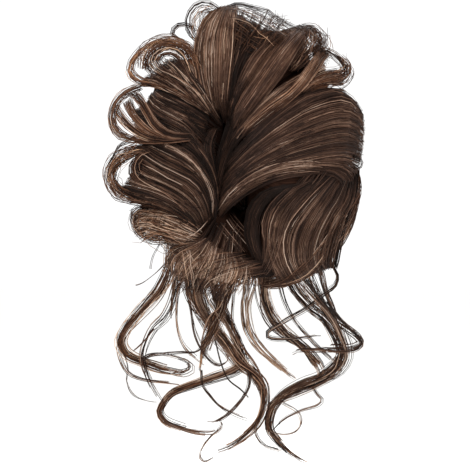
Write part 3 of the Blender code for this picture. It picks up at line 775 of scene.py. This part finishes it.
# The locks' own strands, in layers under the outside: depths in metres, then how far painted shade darkens
# the lock's edges and its lower layers

fanLook = {"layers": 0.0030, "under": 0.0008, "wave": 0.0007, "meander": 0.028, "edge": 0.34,
           "layerShade": 0.16, "toneSpread": 0.10,
           "shade": ((0, 0.12, 0.45, 0.8, 1.2, 3), (-0.5, -0.3, 0.12, 0.10, 0.04, -0.2))}
rollLook = {"layers": 0.0024, "wave": 0.0006, "inward": 0.24, "rimShade": 0.25, "layerShade": 0.10,
            "toneSpread": 0.07, "shade": ((0, 0.15, 0.45, 0.8, 1), (-0.25, 0.0, 0.14, 0.0, -0.15))}


def rimSink(look, t):
    # how far a lock is drawn in round its rim
    return look["sink"] * 0.001 * smooth((t - 0.55) / 0.4) * (1 - smooth((t - 1.3) / 0.7))


def fanGuide(lock, look, rng, count=22):
    # out from the parting, over the front, round the rim and back to the ring
    s = np.linspace(0, 1, count)
    t = np.interp(s, (0, 0.56, 0.84, 1), (0, 1, 2, 3)) * 0.99
    t[0] = rng.uniform(0, 0.05)
    u0 = rng.uniform(0.015, 0.985)
    level = rng.uniform(0, 1)
    phase = rng.uniform(0, 6.28, 2)
    front = np.clip(t, 0, 1.6)
    meander = fanLook["meander"] * np.sin(front * rng.uniform(2, 5) + phase[0]) * smooth(t / 0.4)
    u = u0 + look["sweep"] * (u0 - 0.2) * smooth((t - 0.5) / 0.8) + meander
    u = np.clip(u, 0.01 - 0.08 * smooth(t - 1), 0.99 + 0.08 * smooth(t - 1))
    p, out = lockFrame(lock, t, u)
    wave = fanLook["wave"] * np.sin(front * 4 + phase[1]) * look["frizz"]
    lift = -fanLook["layers"] * (1 - level) - fanLook["under"] + wave - rimSink(look, t)
    # painted shade: darker at the parting, round the back, towards the lock's sides and in its lower layers
    shade = np.interp(t, *fanLook["shade"])
    edge = -fanLook["edge"] * np.abs(2 * u - 1) ** 3
    varied = fanLook["layerShade"] * (level - 0.7) + rng.normal(0, fanLook["toneSpread"])
    tone = look["tone"] + shade + edge + look["contrast"] * varied
    # painted glow: warmer round the rim, where light passes through the thin hair
    warm = look["warm"] * (0.2 + 1.3 * smooth((t - 0.55) / 0.5) * (1 - smooth((t - 1.6) / 0.8)))
    warm = warm * rng.uniform(0.3, 1.0)
    spread = np.interp(t, (0, 0.3, 0.9, 1.3, 3), (0.5, 1.0, 1.15, 1.1, 0.8))
    loose = look["frizz"] * np.interp(t, (0, 0.25, 1.0, 2.0, 3), (0.15, 0.5, 0.4, 0.7, 0.3))
    thin = np.interp(t, (0, 0.1, 2.6, 3), (0.8, 1, 1, 0.7))
    points = p + out * lift[:, None]
    return newGuide(points, out, spread=spread, loose=loose, tone=tone, warm=warm, thin=thin)


def rollGuide(lock, look, rng, count=22):
    # from under the swoop, down round the dark hollow, parallel to its rim, and in under the bun
    s = np.linspace(0, 1, count)
    base = rng.uniform(0.35, 1.9)
    level = rng.uniform(0, 1)
    phase = rng.uniform(0, 6.28)
    u = 0.995 - 0.985 * s
    inward = rollLook["inward"] * np.sin(math.pi * np.clip(s * 1.05, 0, 1)) * math.exp(-base * 0.8)
    start = base + 0.30 * (1 - s) ** 2 * (1.2 - min(base, 1.2))
    t = np.clip(start - inward + 0.02 * np.sin(s * 5 + phase), 0.0, 2.6)
    p, out = lockFrame(lock, t, u)
    lift = -rollLook["layers"] * (1 - level) + rollLook["wave"] * np.sin(s * 7 + phase)
    # painted shade: darker at both ends, by the hollow and in the lower layers
    shade = np.interp(s, *rollLook["shade"])
    shade = shade - rollLook["rimShade"] * np.exp(-(t / 0.07) ** 2)
    varied = rollLook["layerShade"] * (level - 0.5) + rng.normal(0, rollLook["toneSpread"])
    tone = look["tone"] + shade + look["contrast"] * varied
    # painted glow: warmer past the rim, where light passes through the thin hair
    warm = look["warm"] * (0.25 + 0.9 * smooth((t - 0.6) / 0.5)) * rng.uniform(0.1, 1.0)
    loose = look["frizz"] * (0.6 + 0.6 * smooth(t - 0.6))
    points = p + out * lift[:, None]
    return newGuide(points, out, spread=1.2, loose=loose, tone=tone, warm=warm, thin=1.0)


coreLook = {"sink": 0.0026, "overlap": 0.03, "frontRows": 16, "shoulderRows": 7, "flatRows": 3, "columns": 15}


def coreMesh(lock, look):
    # a closed body of painted shade, dark under the strands, drawn in from the CAD solid's outside
    ts = np.concatenate((np.linspace(0, 1, coreLook["frontRows"]) ** 0.85,
                         np.linspace(1.1, 2, coreLook["shoulderRows"]),
                         np.linspace(2.3, 2.9, coreLook["flatRows"])))
    us = np.linspace(0, 1, coreLook["columns"])
    t, u = np.meshgrid(ts, us * (1 + 2 * coreLook["overlap"]) - coreLook["overlap"], indexing="ij")
    p, out = lockFrame(lock, t, u)
    sink = (coreLook["sink"] + rimSink(look, t)) * np.interp(t, (0, 2.0, 2.3), (1, 1, 0.1))
    outer = p - out * sink[..., None]
    wall = hollowPoint(p)
    back = np.clip(t - 1, 0, 1)[..., None]
    angle = np.arctan2(p[..., 2], p[..., 0])
    hole = bun["ringRadius"] - bun["ringThickness"] / 2
    lip = np.stack((hole * np.cos(angle), np.full_like(angle, bun["backY"]), hole * np.sin(angle)), -1)
    innerWall = mix(wall, lip, smooth(back))
    rows, columns = t.shape
    points = np.concatenate((outer.reshape(-1, 3), innerWall.reshape(-1, 3)))
    faces = []
    shift = rows * columns
    for i in range(rows - 1):
        for j in range(columns - 1):
            a = i * columns + j
            faces.append((a, a + 1, a + columns + 1, a + columns))
            faces.append((shift + a, shift + a + columns, shift + a + columns + 1, shift + a + 1))
        for j in (0, columns - 1):
            a = i * columns + j
            b = a + columns
            faces.append((a, b, shift + b, shift + a) if j == 0 else (a, shift + a, shift + b, b))
    for j in range(columns - 1):
        a, b = j, j + 1
        faces.append((a, shift + a, shift + b, b))
        a, b = (rows - 1) * columns + j, (rows - 1) * columns + j + 1
        faces.append((a, b, shift + b, shift + a))
    flow = np.stack((np.tile(u.ravel(), 2), np.tile(t.ravel(), 2)), -1)
    return points, faces, flow


def makeSolid(name, points, faces, flow, material):
    mesh = bpy.data.meshes.new(name)
    mesh.from_pydata(points.tolist(), [], faces)
    layer = mesh.uv_layers.new(name="flow")
    corners = np.zeros(len(mesh.loops), np.int32)
    mesh.loops.foreach_get("vertex_index", corners)
    layer.data.foreach_set("uv", flow[corners].astype(np.float32).ravel())
    fixNormals(mesh)
    mesh.materials.append(material)
    piece = bpy.data.objects.new(name, mesh)
    bpy.context.scene.collection.objects.link(piece)
    return piece


def fixNormals(mesh):
    work = bmesh.new()
    work.from_mesh(mesh)
    bmesh.ops.recalc_face_normals(work, faces=work.faces)
    if work.calc_volume(signed=True) < 0:
        bmesh.ops.reverse_faces(work, faces=work.faces)
    work.to_mesh(mesh)
    work.free()
    mesh.shade_smooth()


for index, lock in enumerate(locks):
    look = lockLook[lock.node]
    rng = np.random.default_rng(100 + index)
    makeGuide = rollGuide if lock.node == "lock_right_roll" else fanGuide
    guides = [makeGuide(lock, look, rng) for _ in range(look["clumps"])]
    loops, frizz = [], []
    kinds = {"body": guides, "edge": guides, "loops": loops, "wisps": loops, "frizz": frizz}
    for ribbon in ribbons:
        if ribbon.node == lock.node:
            kinds[ribbon.kind].extend(ribbonGuides(ribbon, rng, look["contrast"]))
    combed = dict(strandLook, contrast=look["contrast"])
    parts = [makeStrands(lock.node + "_strands", guides, combed, 10 + index, fibre)]
    if loops:
        parts.append(makeStrands(lock.node + "_loops", loops, loopLook, 40 + index, fibre))
    if frizz:
        parts.append(makeStrands(lock.node + "_frizz", frizz, frizzLook, 60 + index, fibre))
    for part in parts:
        dress(part, lock.node)
    dress(makeSolid(lock.node + "_inner", *coreMesh(lock, look), inner), lock.node)
    print(lock.node, "dressed:", sum(len(part.data.polygons) for part in parts), "faces")


# The twist behind the hollow: a lens of hair made dark with painted shade, with a few lighter strands as
# painted highlights that catch the light

twistLook = {"width": 0.044, "height": 0.098, "drop": 0.024, "thickness": 0.008, "edge": 0.25, "gap": 0.0007,
             "sink": 0.001, "turns": 24, "rings": 6, "clumps": 70, "tone": 0.20, "lean": 2.25}


def twistPoint(look, share, turn, side, sink=0.0):
    x = look["width"] / 2 * share * np.cos(turn)
    z = look["height"] / 2 * share * np.sin(turn) - look["drop"]
    inside = np.clip(1 - (x / bun["halfWidth"]) ** 2 - (z / bun["halfHeight"]) ** 2, 0, None)
    dome = np.stack((x, -mix(bun["rimDepth"], bun["depth"], np.sqrt(inside)), z), -1)
    wall = hollowPoint(dome)
    swell = mix(look["edge"], 1.0, np.sqrt(np.clip(1 - share * share, 0, 1))) * side
    depth = look["gap"] + look["thickness"] * (1 + swell) / 2 + sink * side
    return wall + unit(core - wall) * np.asarray(depth)[..., None]


def makeTwist(look):
    rng = np.random.default_rng(300)
    turns, rings = look["turns"], np.linspace(0, 1, look["rings"] + 1)[1:]
    turn = np.arange(turns) * 2 * math.pi / turns
    points, faces = [], []
    for side in (-1, 1):
        first = len(points)
        points.append(twistPoint(look, np.array(0.0), np.array(0.0), side, -look["sink"]))
        for share in rings:
            points.extend(twistPoint(look, np.full(turns, share), turn, side, -look["sink"]))
        for i in range(turns):
            j = (i + 1) % turns
            faces.append((first, first + 1 + i, first + 1 + j))
            for k in range(len(rings) - 1):
                a = first + 1 + k * turns
                faces.append((a + i, a + turns + i, a + turns + j, a + j))
    last = 1 + (len(rings) - 1) * turns
    rear = len(points) // 2
    for i in range(turns):
        j = (i + 1) % turns
        faces.append((last + i, rear + last + i, rear + last + j, last + j))
    points = np.array(points)
    lens = makeSolid("centre_twist_inner", points, faces, points[:, (0, 2)] / 0.05, inner)
    guides = []
    for n in range(look["clumps"]):
        side = -1 if n % 3 else 1
        place = rng.uniform(-0.95, 0.95)
        half = math.sqrt(1 - place * place)
        s = np.linspace(-half, half, 16)
        tilt = look["lean"] + 0.25 * math.sin(place * 3)
        px = s * math.cos(tilt) - place * math.sin(tilt)
        pz = s * math.sin(tilt) + place * math.cos(tilt) + 0.05 * np.sin(s * 4)
        share = np.minimum(np.hypot(px, pz), 0.98)
        p = twistPoint(look, share, np.arctan2(pz, px), side)
        out = unit(core - p) * side
        tone = look["tone"] + rng.normal(0, 0.08)
        guides.append(newGuide(p + out * 0.0004, out, spread=0.8, loose=0.7, tone=tone, warm=0.1, thin=0.9))
    strands = makeStrands("centre_twist_strands", guides, strandLook, 70, fibre)
    lit = []
    for ribbon in ribbons:
        if ribbon.node == "centre_twist":
            lit += ribbonGuides(ribbon, rng)
    dress(makeStrands("centre_twist_highlights", lit, loopLook, 71, fibre), "centre_twist")
    dress(lens, "centre_twist")
    dress(strands, "centre_twist")


makeTwist(twistLook)
print("Twist made")


# Tendrils: wisps of strands along each curl

# thickness, then the route: across as a share of half the bun's width, down as a share of the drop below
# the bun, and forward as a share of its depth
tendrils = (
    (1.0, (
        (-0.53, -0.08, 0.00), (-0.61, 0.03, 0.02), (-0.76, 0.14, 0.05), (-0.88, 0.25, 0.10),
        (-0.90, 0.31, 0.12), (-0.85, 0.38, 0.10), (-0.73, 0.42, 0.05), (-0.62, 0.455, 0.02),
        (-0.49, 0.475, 0.04), (-0.41, 0.48, 0.07), (-0.34, 0.45, 0.10), (-0.38, 0.42, 0.12),
        (-0.49, 0.39, 0.12))),
    (0.75, (
        (-0.45, -0.01, 0.00), (-0.54, 0.16, 0.08), (-0.65, 0.24, 0.13), (-0.73, 0.38, 0.17),
        (-0.72, 0.45, 0.17), (-0.67, 0.54, 0.17), (-0.58, 0.65, 0.15), (-0.49, 0.71, 0.13))),
    (1.0, (
        (-0.28, -0.01, 0.00), (-0.27, 0.07, 0.02), (-0.19, 0.20, 0.06), (-0.08, 0.30, 0.08),
        (0.02, 0.42, 0.08), (0.15, 0.49, 0.10), (0.22, 0.55, 0.12), (0.23, 0.62, 0.11), (0.22, 0.69, 0.07),
        (0.18, 0.76, 0.04), (0.09, 0.83, 0.03), (-0.05, 0.90, 0.04), (-0.20, 0.94, 0.07),
        (-0.25, 0.96, 0.08))),
    (0.9, (
        (-0.165, -0.01, 0.00), (-0.10, 0.12, -0.01), (0.02, 0.32, -0.01), (0.06, 0.43, 0.00),
        (-0.02, 0.475, 0.01), (-0.12, 0.50, 0.02), (-0.23, 0.525, 0.04), (-0.37, 0.56, 0.05),
        (-0.50, 0.60, 0.03), (-0.57, 0.66, 0.02), (-0.60, 0.71, 0.02), (-0.56, 0.76, 0.03),
        (-0.43, 0.80, 0.04), (-0.30, 0.82, 0.05), (-0.17, 0.82, 0.06), (-0.11, 0.79, 0.06),
        (-0.12, 0.75, 0.05))),
    (0.85, (
        (-0.055, -0.01, 0.00), (-0.10, 0.10, 0.12), (-0.16, 0.17, 0.17), (-0.19, 0.26, 0.18),
        (-0.25, 0.35, 0.19), (-0.26, 0.41, 0.19), (-0.27, 0.47, 0.18), (-0.26, 0.52, 0.17))),
    (0.75, (
        (0.085, -0.01, 0.00), (0.07, 0.12, 0.01), (0.10, 0.25, 0.01), (0.21, 0.36, 0.00), (0.39, 0.47, 0.00),
        (0.52, 0.53, 0.01))),
    (1.0, (
        (0.21, -0.01, 0.00), (0.24, 0.10, 0.02), (0.31, 0.20, 0.04), (0.42, 0.275, 0.08), (0.52, 0.32, 0.12),
        (0.62, 0.41, 0.16), (0.67, 0.48, 0.18), (0.66, 0.52, 0.19))),
    (1.0, (
        (0.45, -0.04, 0.00), (0.59, 0.09, 0.02), (0.73, 0.17, 0.04), (0.80, 0.25, 0.06), (0.85, 0.33, 0.07),
        (0.86, 0.38, 0.07), (0.81, 0.44, 0.07), (0.68, 0.51, 0.09), (0.52, 0.55, 0.12), (0.36, 0.62, 0.15),
        (0.28, 0.71, 0.16), (0.27, 0.80, 0.15), (0.33, 0.865, 0.12), (0.42, 0.93, 0.09), (0.52, 0.98, 0.08),
        (0.60, 1.0, 0.08))),
    (0.8, (
        (0.58, -0.08, 0.00), (0.64, 0.02, 0.04), (0.69, 0.10, 0.08), (0.77, 0.17, 0.10), (0.88, 0.225, 0.11),
        (0.98, 0.275, 0.13), (1.00, 0.31, 0.15), (0.94, 0.34, 0.17), (0.77, 0.345, 0.18), (0.62, 0.345, 0.23),
        (0.48, 0.35, 0.26), (0.42, 0.38, 0.27), (0.39, 0.40, 0.26))),
    (0.7, (
        (0.69, -0.09, 0.00), (0.73, 0.02, -0.01), (0.79, 0.12, -0.01), (0.82, 0.21, -0.01),
        (0.86, 0.29, -0.01))),
)
tendrilLook = {"drop": 0.103, "radius": 0.0024, "tip": 0.0006, "fan": math.radians(108), "gap": 0.0003,
               "clumps": (13, 5, 15, 14, 11, 7, 14, 15, 6, 5),
               "tones": (0.44, 0.34, 0.42, 0.40, 0.46, 0.50, 0.34, 0.40, 0.18, 0.18),
               "warm": 0.8, "swell": 1.4, "patches": (-0.12, 0.08, 0.32), "toneSpread": 0.08}
wispLook = {"copies": 3, "radius": 0.00019, "side": 0.0005, "out": 0.0005, "wander": 0.0034, "scale": 24.0}


def tendrilRoute(look, index, thickness, shares):
    radius = look["radius"] * thickness
    lane = bun["backY"] + look["gap"] + radius
    turn = mix(-look["fan"] / 2, look["fan"] / 2, index / (len(tendrils) - 1)) - math.pi / 2
    reach = bun["ringRadius"] + bun["ringThickness"] / 2 + look["gap"]
    route = [(r * math.cos(turn), lane, r * math.sin(turn)) for r in (reach, reach + 4 * radius)]
    for across, down, forward in shares:
        route.append((across * bun["halfWidth"], lane - forward * bun["depth"],
                      -bun["halfHeight"] - down * look["drop"]))
    return np.array(route)


def wispGuides(line, radius, clumps, tone, warm, rng):
    # guides wound loosely round a line, drawn together towards its tip
    count = len(line)
    along = unit(np.gradient(line, axis=0))
    side = unit(np.cross(along, np.broadcast_to((0.0, 1.0, 0.0), line.shape)))
    up = np.cross(along, side)
    s = np.linspace(0, 1, count)
    guides = []
    for n in range(clumps):
        turn = rng.uniform(0, 6.28) + s * rng.uniform(-5, 5)
        reach = radius * rng.uniform(0.1, 1.3) * (1 + 0.4 * np.sin(s * rng.uniform(4, 9) + rng.uniform(0, 6)))
        offset = side * (reach * np.cos(turn))[:, None] + up * (reach * np.sin(turn))[:, None]
        end = int(count * rng.uniform(0.82, 1.0))
        points = (line + offset)[:end]
        # painted shade: darker at the root, under the bun
        values = np.interp(s, (0, 0.1, 1), (-0.15, 0, 0.05)) + tone
        values = values + rng.choice(tendrilLook["patches"]) + rng.normal(0, tendrilLook["toneSpread"])
        spread = 0.35 + 0.65 * radius / tendrilLook["radius"]
        # painted glow of light passing through the thin wisp
        warmth = warm * rng.uniform(0.2, 1.0)
        loose = np.interp(s, (0, 0.3, 1), (0.4, 1, 1.1))
        thin = np.interp(s, (0, 0.9, 1), (1, 1, 0.5))
        guides.append(newGuide(points, side[:end], spread=spread[:end], loose=loose[:end], tone=values[:end],
                               warm=warmth, thin=thin[:end]))
    return guides


def makeTendrils(look):
    for index, (thickness, shares) in enumerate(tendrils):
        rng = np.random.default_rng(400 + index)
        line = evenLine(tendrilRoute(look, index, thickness, shares), 20 + 3 * len(shares))
        t = np.linspace(0, 1, len(line))
        radius = mix(look["tip"], look["radius"] * look["swell"] * thickness, (1 - t) ** 0.45)
        guides = wispGuides(line, radius, look["clumps"][index], look["tones"][index], look["warm"], rng)
        name = "tendril_%d" % (index + 1)
        dress(makeStrands(name + "_strands", guides, wispLook, 80 + index, fibre), name)


makeTendrils(tendrilLook)
print("Tendrils made")


# Bare strands that hang loose: width of each wisp, and how far forward its root and tip lie, in mm

Stray = namedtuple("Stray", "node count width tone warm root tip line")
strays = (
    Stray("tendril_1", 11, 4.2, 0.4, 0.6, 34, 6,
          "178,248 170,266 159,290 136,316 123,332 119,343 124,354 138,362 155,367 172,371"),
    Stray("tendril_1", 3, 1, 0.35, 0.4, 4, 8,
          "157,293 140,313 124,333 118,346 120,360 128,374 138,379 151,382 171,384 184,386"),
    Stray("tendril_1", 1, 0.5, 0.3, 0.2, 5, 8, "121,352 126,368 125,382 132,396 148,403 161,404"),
    Stray("tendril_1", 2, 0.6, 0.35, 0.5, 8, 9,
          "140,360 146,356 160,355 175,358 188,364 186,371 172,374 150,370"),
    Stray("tendril_2", 5, 2, 0.38, 0.5, 36, 8, "180,252 176,275 172,300 170,323"),
    Stray("tendril_2", 2, 0.8, 0.35, 0.5, 10, 14, "153,329 144,341 135,350 129,354"),
    Stray("tendril_2", 3, 0.8, 0.35, 0.4, 12, 16,
          "141,361 150,356 165,353 182,352 196,352 204,345 210,334 216,324"),
    Stray("tendril_2", 3, 0.8, 0.4, 0.6, 30, 12,
          "186,270 178,292 176,310 177,330 183,346 194,358 207,367"),
    Stray("tendril_3", 18, 5.6, 0.4, 0.45, 38, 6,
          "205,248 198,272 199,298 210,322 228,348 243,367 255,380 262,395 262,412"),
    Stray("tendril_3", 12, 4.2, 0.36, 0.45, 34, 6,
          "194,250 188,272 192,298 204,318 222,344 240,366 250,378"),
    Stray("tendril_3", 3, 1, 0.22, 0.2, 14, 16,
          "186,288 191,310 195,336 207,358 219,366 228,360 227,353 222,352"),
    Stray("tendril_3", 3, 0.8, 0.35, 0.3, 8, 10,
          "238,350 246,365 249,379 248,390 238,405 225,417 213,423 200,420"),
    Stray("tendril_3", 2, 0.6, 0.3, 0.3, 6, 8, "213,460 204,464 199,459 202,449 209,440 217,432 222,424"),
    Stray("tendril_3", 2, 0.8, 0.3, 0.3, 6, 8, "258,420 256,434 264,446 284,453"),
    Stray("tendril_5", 16, 5, 0.42, 0.55, 38, 14,
          "248,260 233,274 224,292 221,310 212,330 205,347 201,365"),
    Stray("tendril_5", 3, 0.8, 0.35, 0.3, 12, 10, "201,371 203,386 210,396 221,408 234,415 250,421"),
    Stray("tendril_4", 9, 3.4, 0.38, 0.4, 6, 4,
          "210,300 222,320 236,346 240,365 225,375 205,382 188,388 172,395 162,404 158,414"),
    Stray("tendril_4", 2, 0.8, 0.35, 0.3, 4, 8, "215,340 222,365 229,380 242,391 254,405"),
    Stray("tendril_4", 2, 0.8, 0.35, 0.3, 4, 8, "163,424 180,432 197,436 215,435 222,427 219,420"),
    Stray("tendril_6", 4, 1.6, 0.46, 0.5, 12, 6, "255,285 249,305 250,325 258,345 275,362 300,382"),
    Stray("tendril_6", 3, 0.8, 0.4, 0.3, 10, 8,
          "236,278 233,300 232,322 238,340 246,352 256,366 262,380 262,395"),
    Stray("tendril_7", 13, 4.2, 0.34, 0.4, 30, 12,
          "264,270 264,293 270,313 283,330 298,343 313,357 322,369 323,380"),
    Stray("tendril_7", 4, 1.2, 0.28, 0.3, 10, 12, "280,285 284,300 293,319 314,344 332,360 343,369"),
    Stray("tendril_8", 12, 3.8, 0.34, 0.45, 20, 10,
          "300,278 318,299 333,318 342,338 346,355 340,369 322,381 300,389 280,398 265,410 259,425"),
    Stray("tendril_8", 8, 2.6, 0.4, 0.5, 10, 10, "346,352 338,372 318,385 297,394 277,405 264,417"),
    Stray("tendril_8", 3, 0.8, 0.3, 0.3, 8, 10,
          "310,383 318,396 322,401 318,406 301,412 285,420 275,430 270,436"),
    Stray("tendril_8", 2, 0.6, 0.45, 0.3, 8, 10,
          "283,405 298,415 301,425 296,433 285,436 275,434 268,428"),
    Stray("tendril_8", 4, 0.8, 0.3, 0.4, 10, 6, "268,416 270,432 277,443 289,454 300,461 311,466"),
    Stray("tendril_9", 6, 0.9, 0.16, 0.1, 10, 22,
          "330,258 334,268 338,276 336,285 324,294 311,305 293,316 280,324 268,332 268,337 280,339"
          " 306,337 322,336 329,341"),
    Stray("tendril_9", 4, 1.2, 0.28, 0.3, 12, 14, "307,270 316,295 330,318 341,337 344,352"),
    Stray("tendril_9", 6, 1, 0.2, 0.15, 10, 18,
          "328,302 340,318 354,332 363,343 357,350 340,352 318,350 300,350 289,354 286,359"),
    Stray("tendril_10", 3, 0.8, 0.24, 0.2, 8, 8, "318,268 326,292 337,320 344,345 348,360"),
    Stray("lock_lower_left", 1, 0.4, 0.3, 0.2, 24, 24, "174,253 165,264 152,276 140,284 126,287"),
    Stray("lock_lower_left", 1, 0.4, 0.3, 0.2, 24, 24, "160,244 154,256 151,266 151,273"),
    Stray("lock_gather", 2, 0.8, 0.34, 0.5, 30, 14, "226,284 214,282 206,287 205,298 208,308"),
)
strayLook = {"copies": 3, "radius": 0.00017, "side": 0.0007, "out": 0.0007, "wander": 0.0030, "scale": 24.0}


def makeStrays():
    rng = np.random.default_rng(500)
    for node in sorted({stray.node for stray in strays}):
        guides = []
        for stray in strays:
            if stray.node != node:
                continue
            points = picked(stray.line)
            flat = evenLine(points, 10 + 2 * len(points)) * 0.001
            s = np.linspace(0, 1, len(flat))
            y = -mix(stray.root, stray.tip, smooth(s * 1.8)) * 0.001
            line = np.stack((flat[:, 0], y, flat[:, 1]), -1)
            radius = stray.width * 0.001 * (0.15 + 0.85 * (1 - s) ** 0.5)
            guides += wispGuides(line, radius, stray.count, stray.tone, stray.warm, rng)
        dress(makeStrands(node + "_bare_strands", guides, strayLook, 97, fibre), node)


makeStrays()
print("Bare strands made")


# The elastic ring in its braided cover, each thread drawn as thick as the bundle of yarn that it stands for

bandLook = {"threads": 22, "turns": 7, "points": 150, "radius": 0.00042, "around": 72, "sides": 14,
            "rubberSink": 0.0003, "threadSink": 0.0001, "overUnder": 0.00022}


def makeBand(look):
    around, sides = look["around"], look["sides"]
    u, v = np.meshgrid(np.arange(around) * 2 * math.pi / around, np.arange(sides) * 2 * math.pi / sides,
                       indexing="ij")
    tube = bun["ringThickness"] / 2 - look["rubberSink"]
    reach = bun["ringRadius"] + tube * np.cos(v)
    points = np.stack((reach * np.cos(u), tube * np.sin(v), reach * np.sin(u)), -1).reshape(-1, 3)
    faces = []
    for i in range(around):
        a, b = i * sides, (i + 1) % around * sides
        faces += [(a + k, a + (k + 1) % sides, b + (k + 1) % sides, b + k) for k in range(sides)]
    ring = makeSolid("elastic_band_rubber", points, faces, np.stack((u, v), -1).reshape(-1, 2), rubber)
    guides = []
    s = np.linspace(0, 2 * math.pi, look["points"])
    tube = bun["ringThickness"] / 2 - look["threadSink"]
    for n in range(look["threads"]):
        way = 1 if n % 2 else -1
        turn = way * s * look["turns"] + n * 2 * math.pi / look["threads"]
        over = tube + look["overUnder"] * np.sin(s * look["turns"] * look["threads"] / 2 + way)
        reach = bun["ringRadius"] + over * np.cos(turn)
        p = np.stack((reach * np.cos(s), over * np.sin(turn), reach * np.sin(s)), -1)
        out = np.stack((np.cos(turn) * np.cos(s), np.sin(turn), np.cos(turn) * np.sin(s)), -1)
        guides.append(newGuide(p, out, spread=1.0, loose=0.0, tone=0.0, warm=0.0, thin=1.0))
    plain = {"copies": 1, "radius": look["radius"], "side": 0.0, "out": 0.0, "wander": 0.0, "scale": 30.0}
    cover = makeStrands("elastic_band_cover", guides, plain, 95, cotton)
    dress(ring, "elastic_band")
    dress(cover, "elastic_band")


makeBand(bandLook)
print("Elastic ring made")


# Floor, world and lights

stageLook = {"floor": -0.27, "radius": 12.0, "sides": 64, "colour": "#fbfaf8", "roughness": 0.9,
             "world": 1.06}
lightTarget = (0.0, -0.03, -0.03)
lightLook = {
    "key": {"place": (-0.8, -1.5, 1.1), "size": 0.8, "power": 30},
    "fill": {"place": (1.3, -1.2, 0.3), "size": 1.0, "power": 12},
    "back": {"place": (0.3, 1.4, 1.0), "size": 1.0, "power": 18},
}


def makeFloor(look):
    radius, sides = look["radius"], look["sides"]
    turns = [2 * math.pi * i / sides for i in range(sides)]
    ring = [(radius * math.cos(turn), radius * math.sin(turn), look["floor"]) for turn in turns]
    mesh = bpy.data.meshes.new("floor")
    mesh.from_pydata(ring, [], [tuple(range(sides))])
    floor = bpy.data.objects.new("floor", mesh)
    bpy.context.scene.collection.objects.link(floor)
    mesh.materials.append(makePlain("plain_pale_floor", look["colour"], look["roughness"]))


def makeWorld(look):
    world = bpy.data.worlds.new("studio")
    world.use_nodes = True
    background = world.node_tree.nodes["Background"].inputs
    background["Color"].default_value = (1.0, 1.0, 1.0, 1.0)
    background["Strength"].default_value = look["world"]
    bpy.context.scene.world = world
    bpy.context.scene.view_settings.view_transform = "Standard"


def makeLight(name, look):
    data = bpy.data.lights.new(name, "AREA")
    data.shape = "DISK"
    data.size = look["size"]
    data.energy = look["power"]
    light = bpy.data.objects.new(name, data)
    light.location = look["place"]
    aim = Vector(lightTarget) - Vector(look["place"])
    light.rotation_euler = aim.to_track_quat("-Z", "Y").to_euler()
    bpy.context.scene.collection.objects.link(light)


makeFloor(stageLook)
makeWorld(stageLook)
for name, look in lightLook.items():
    makeLight(name, look)
print("Stage set")
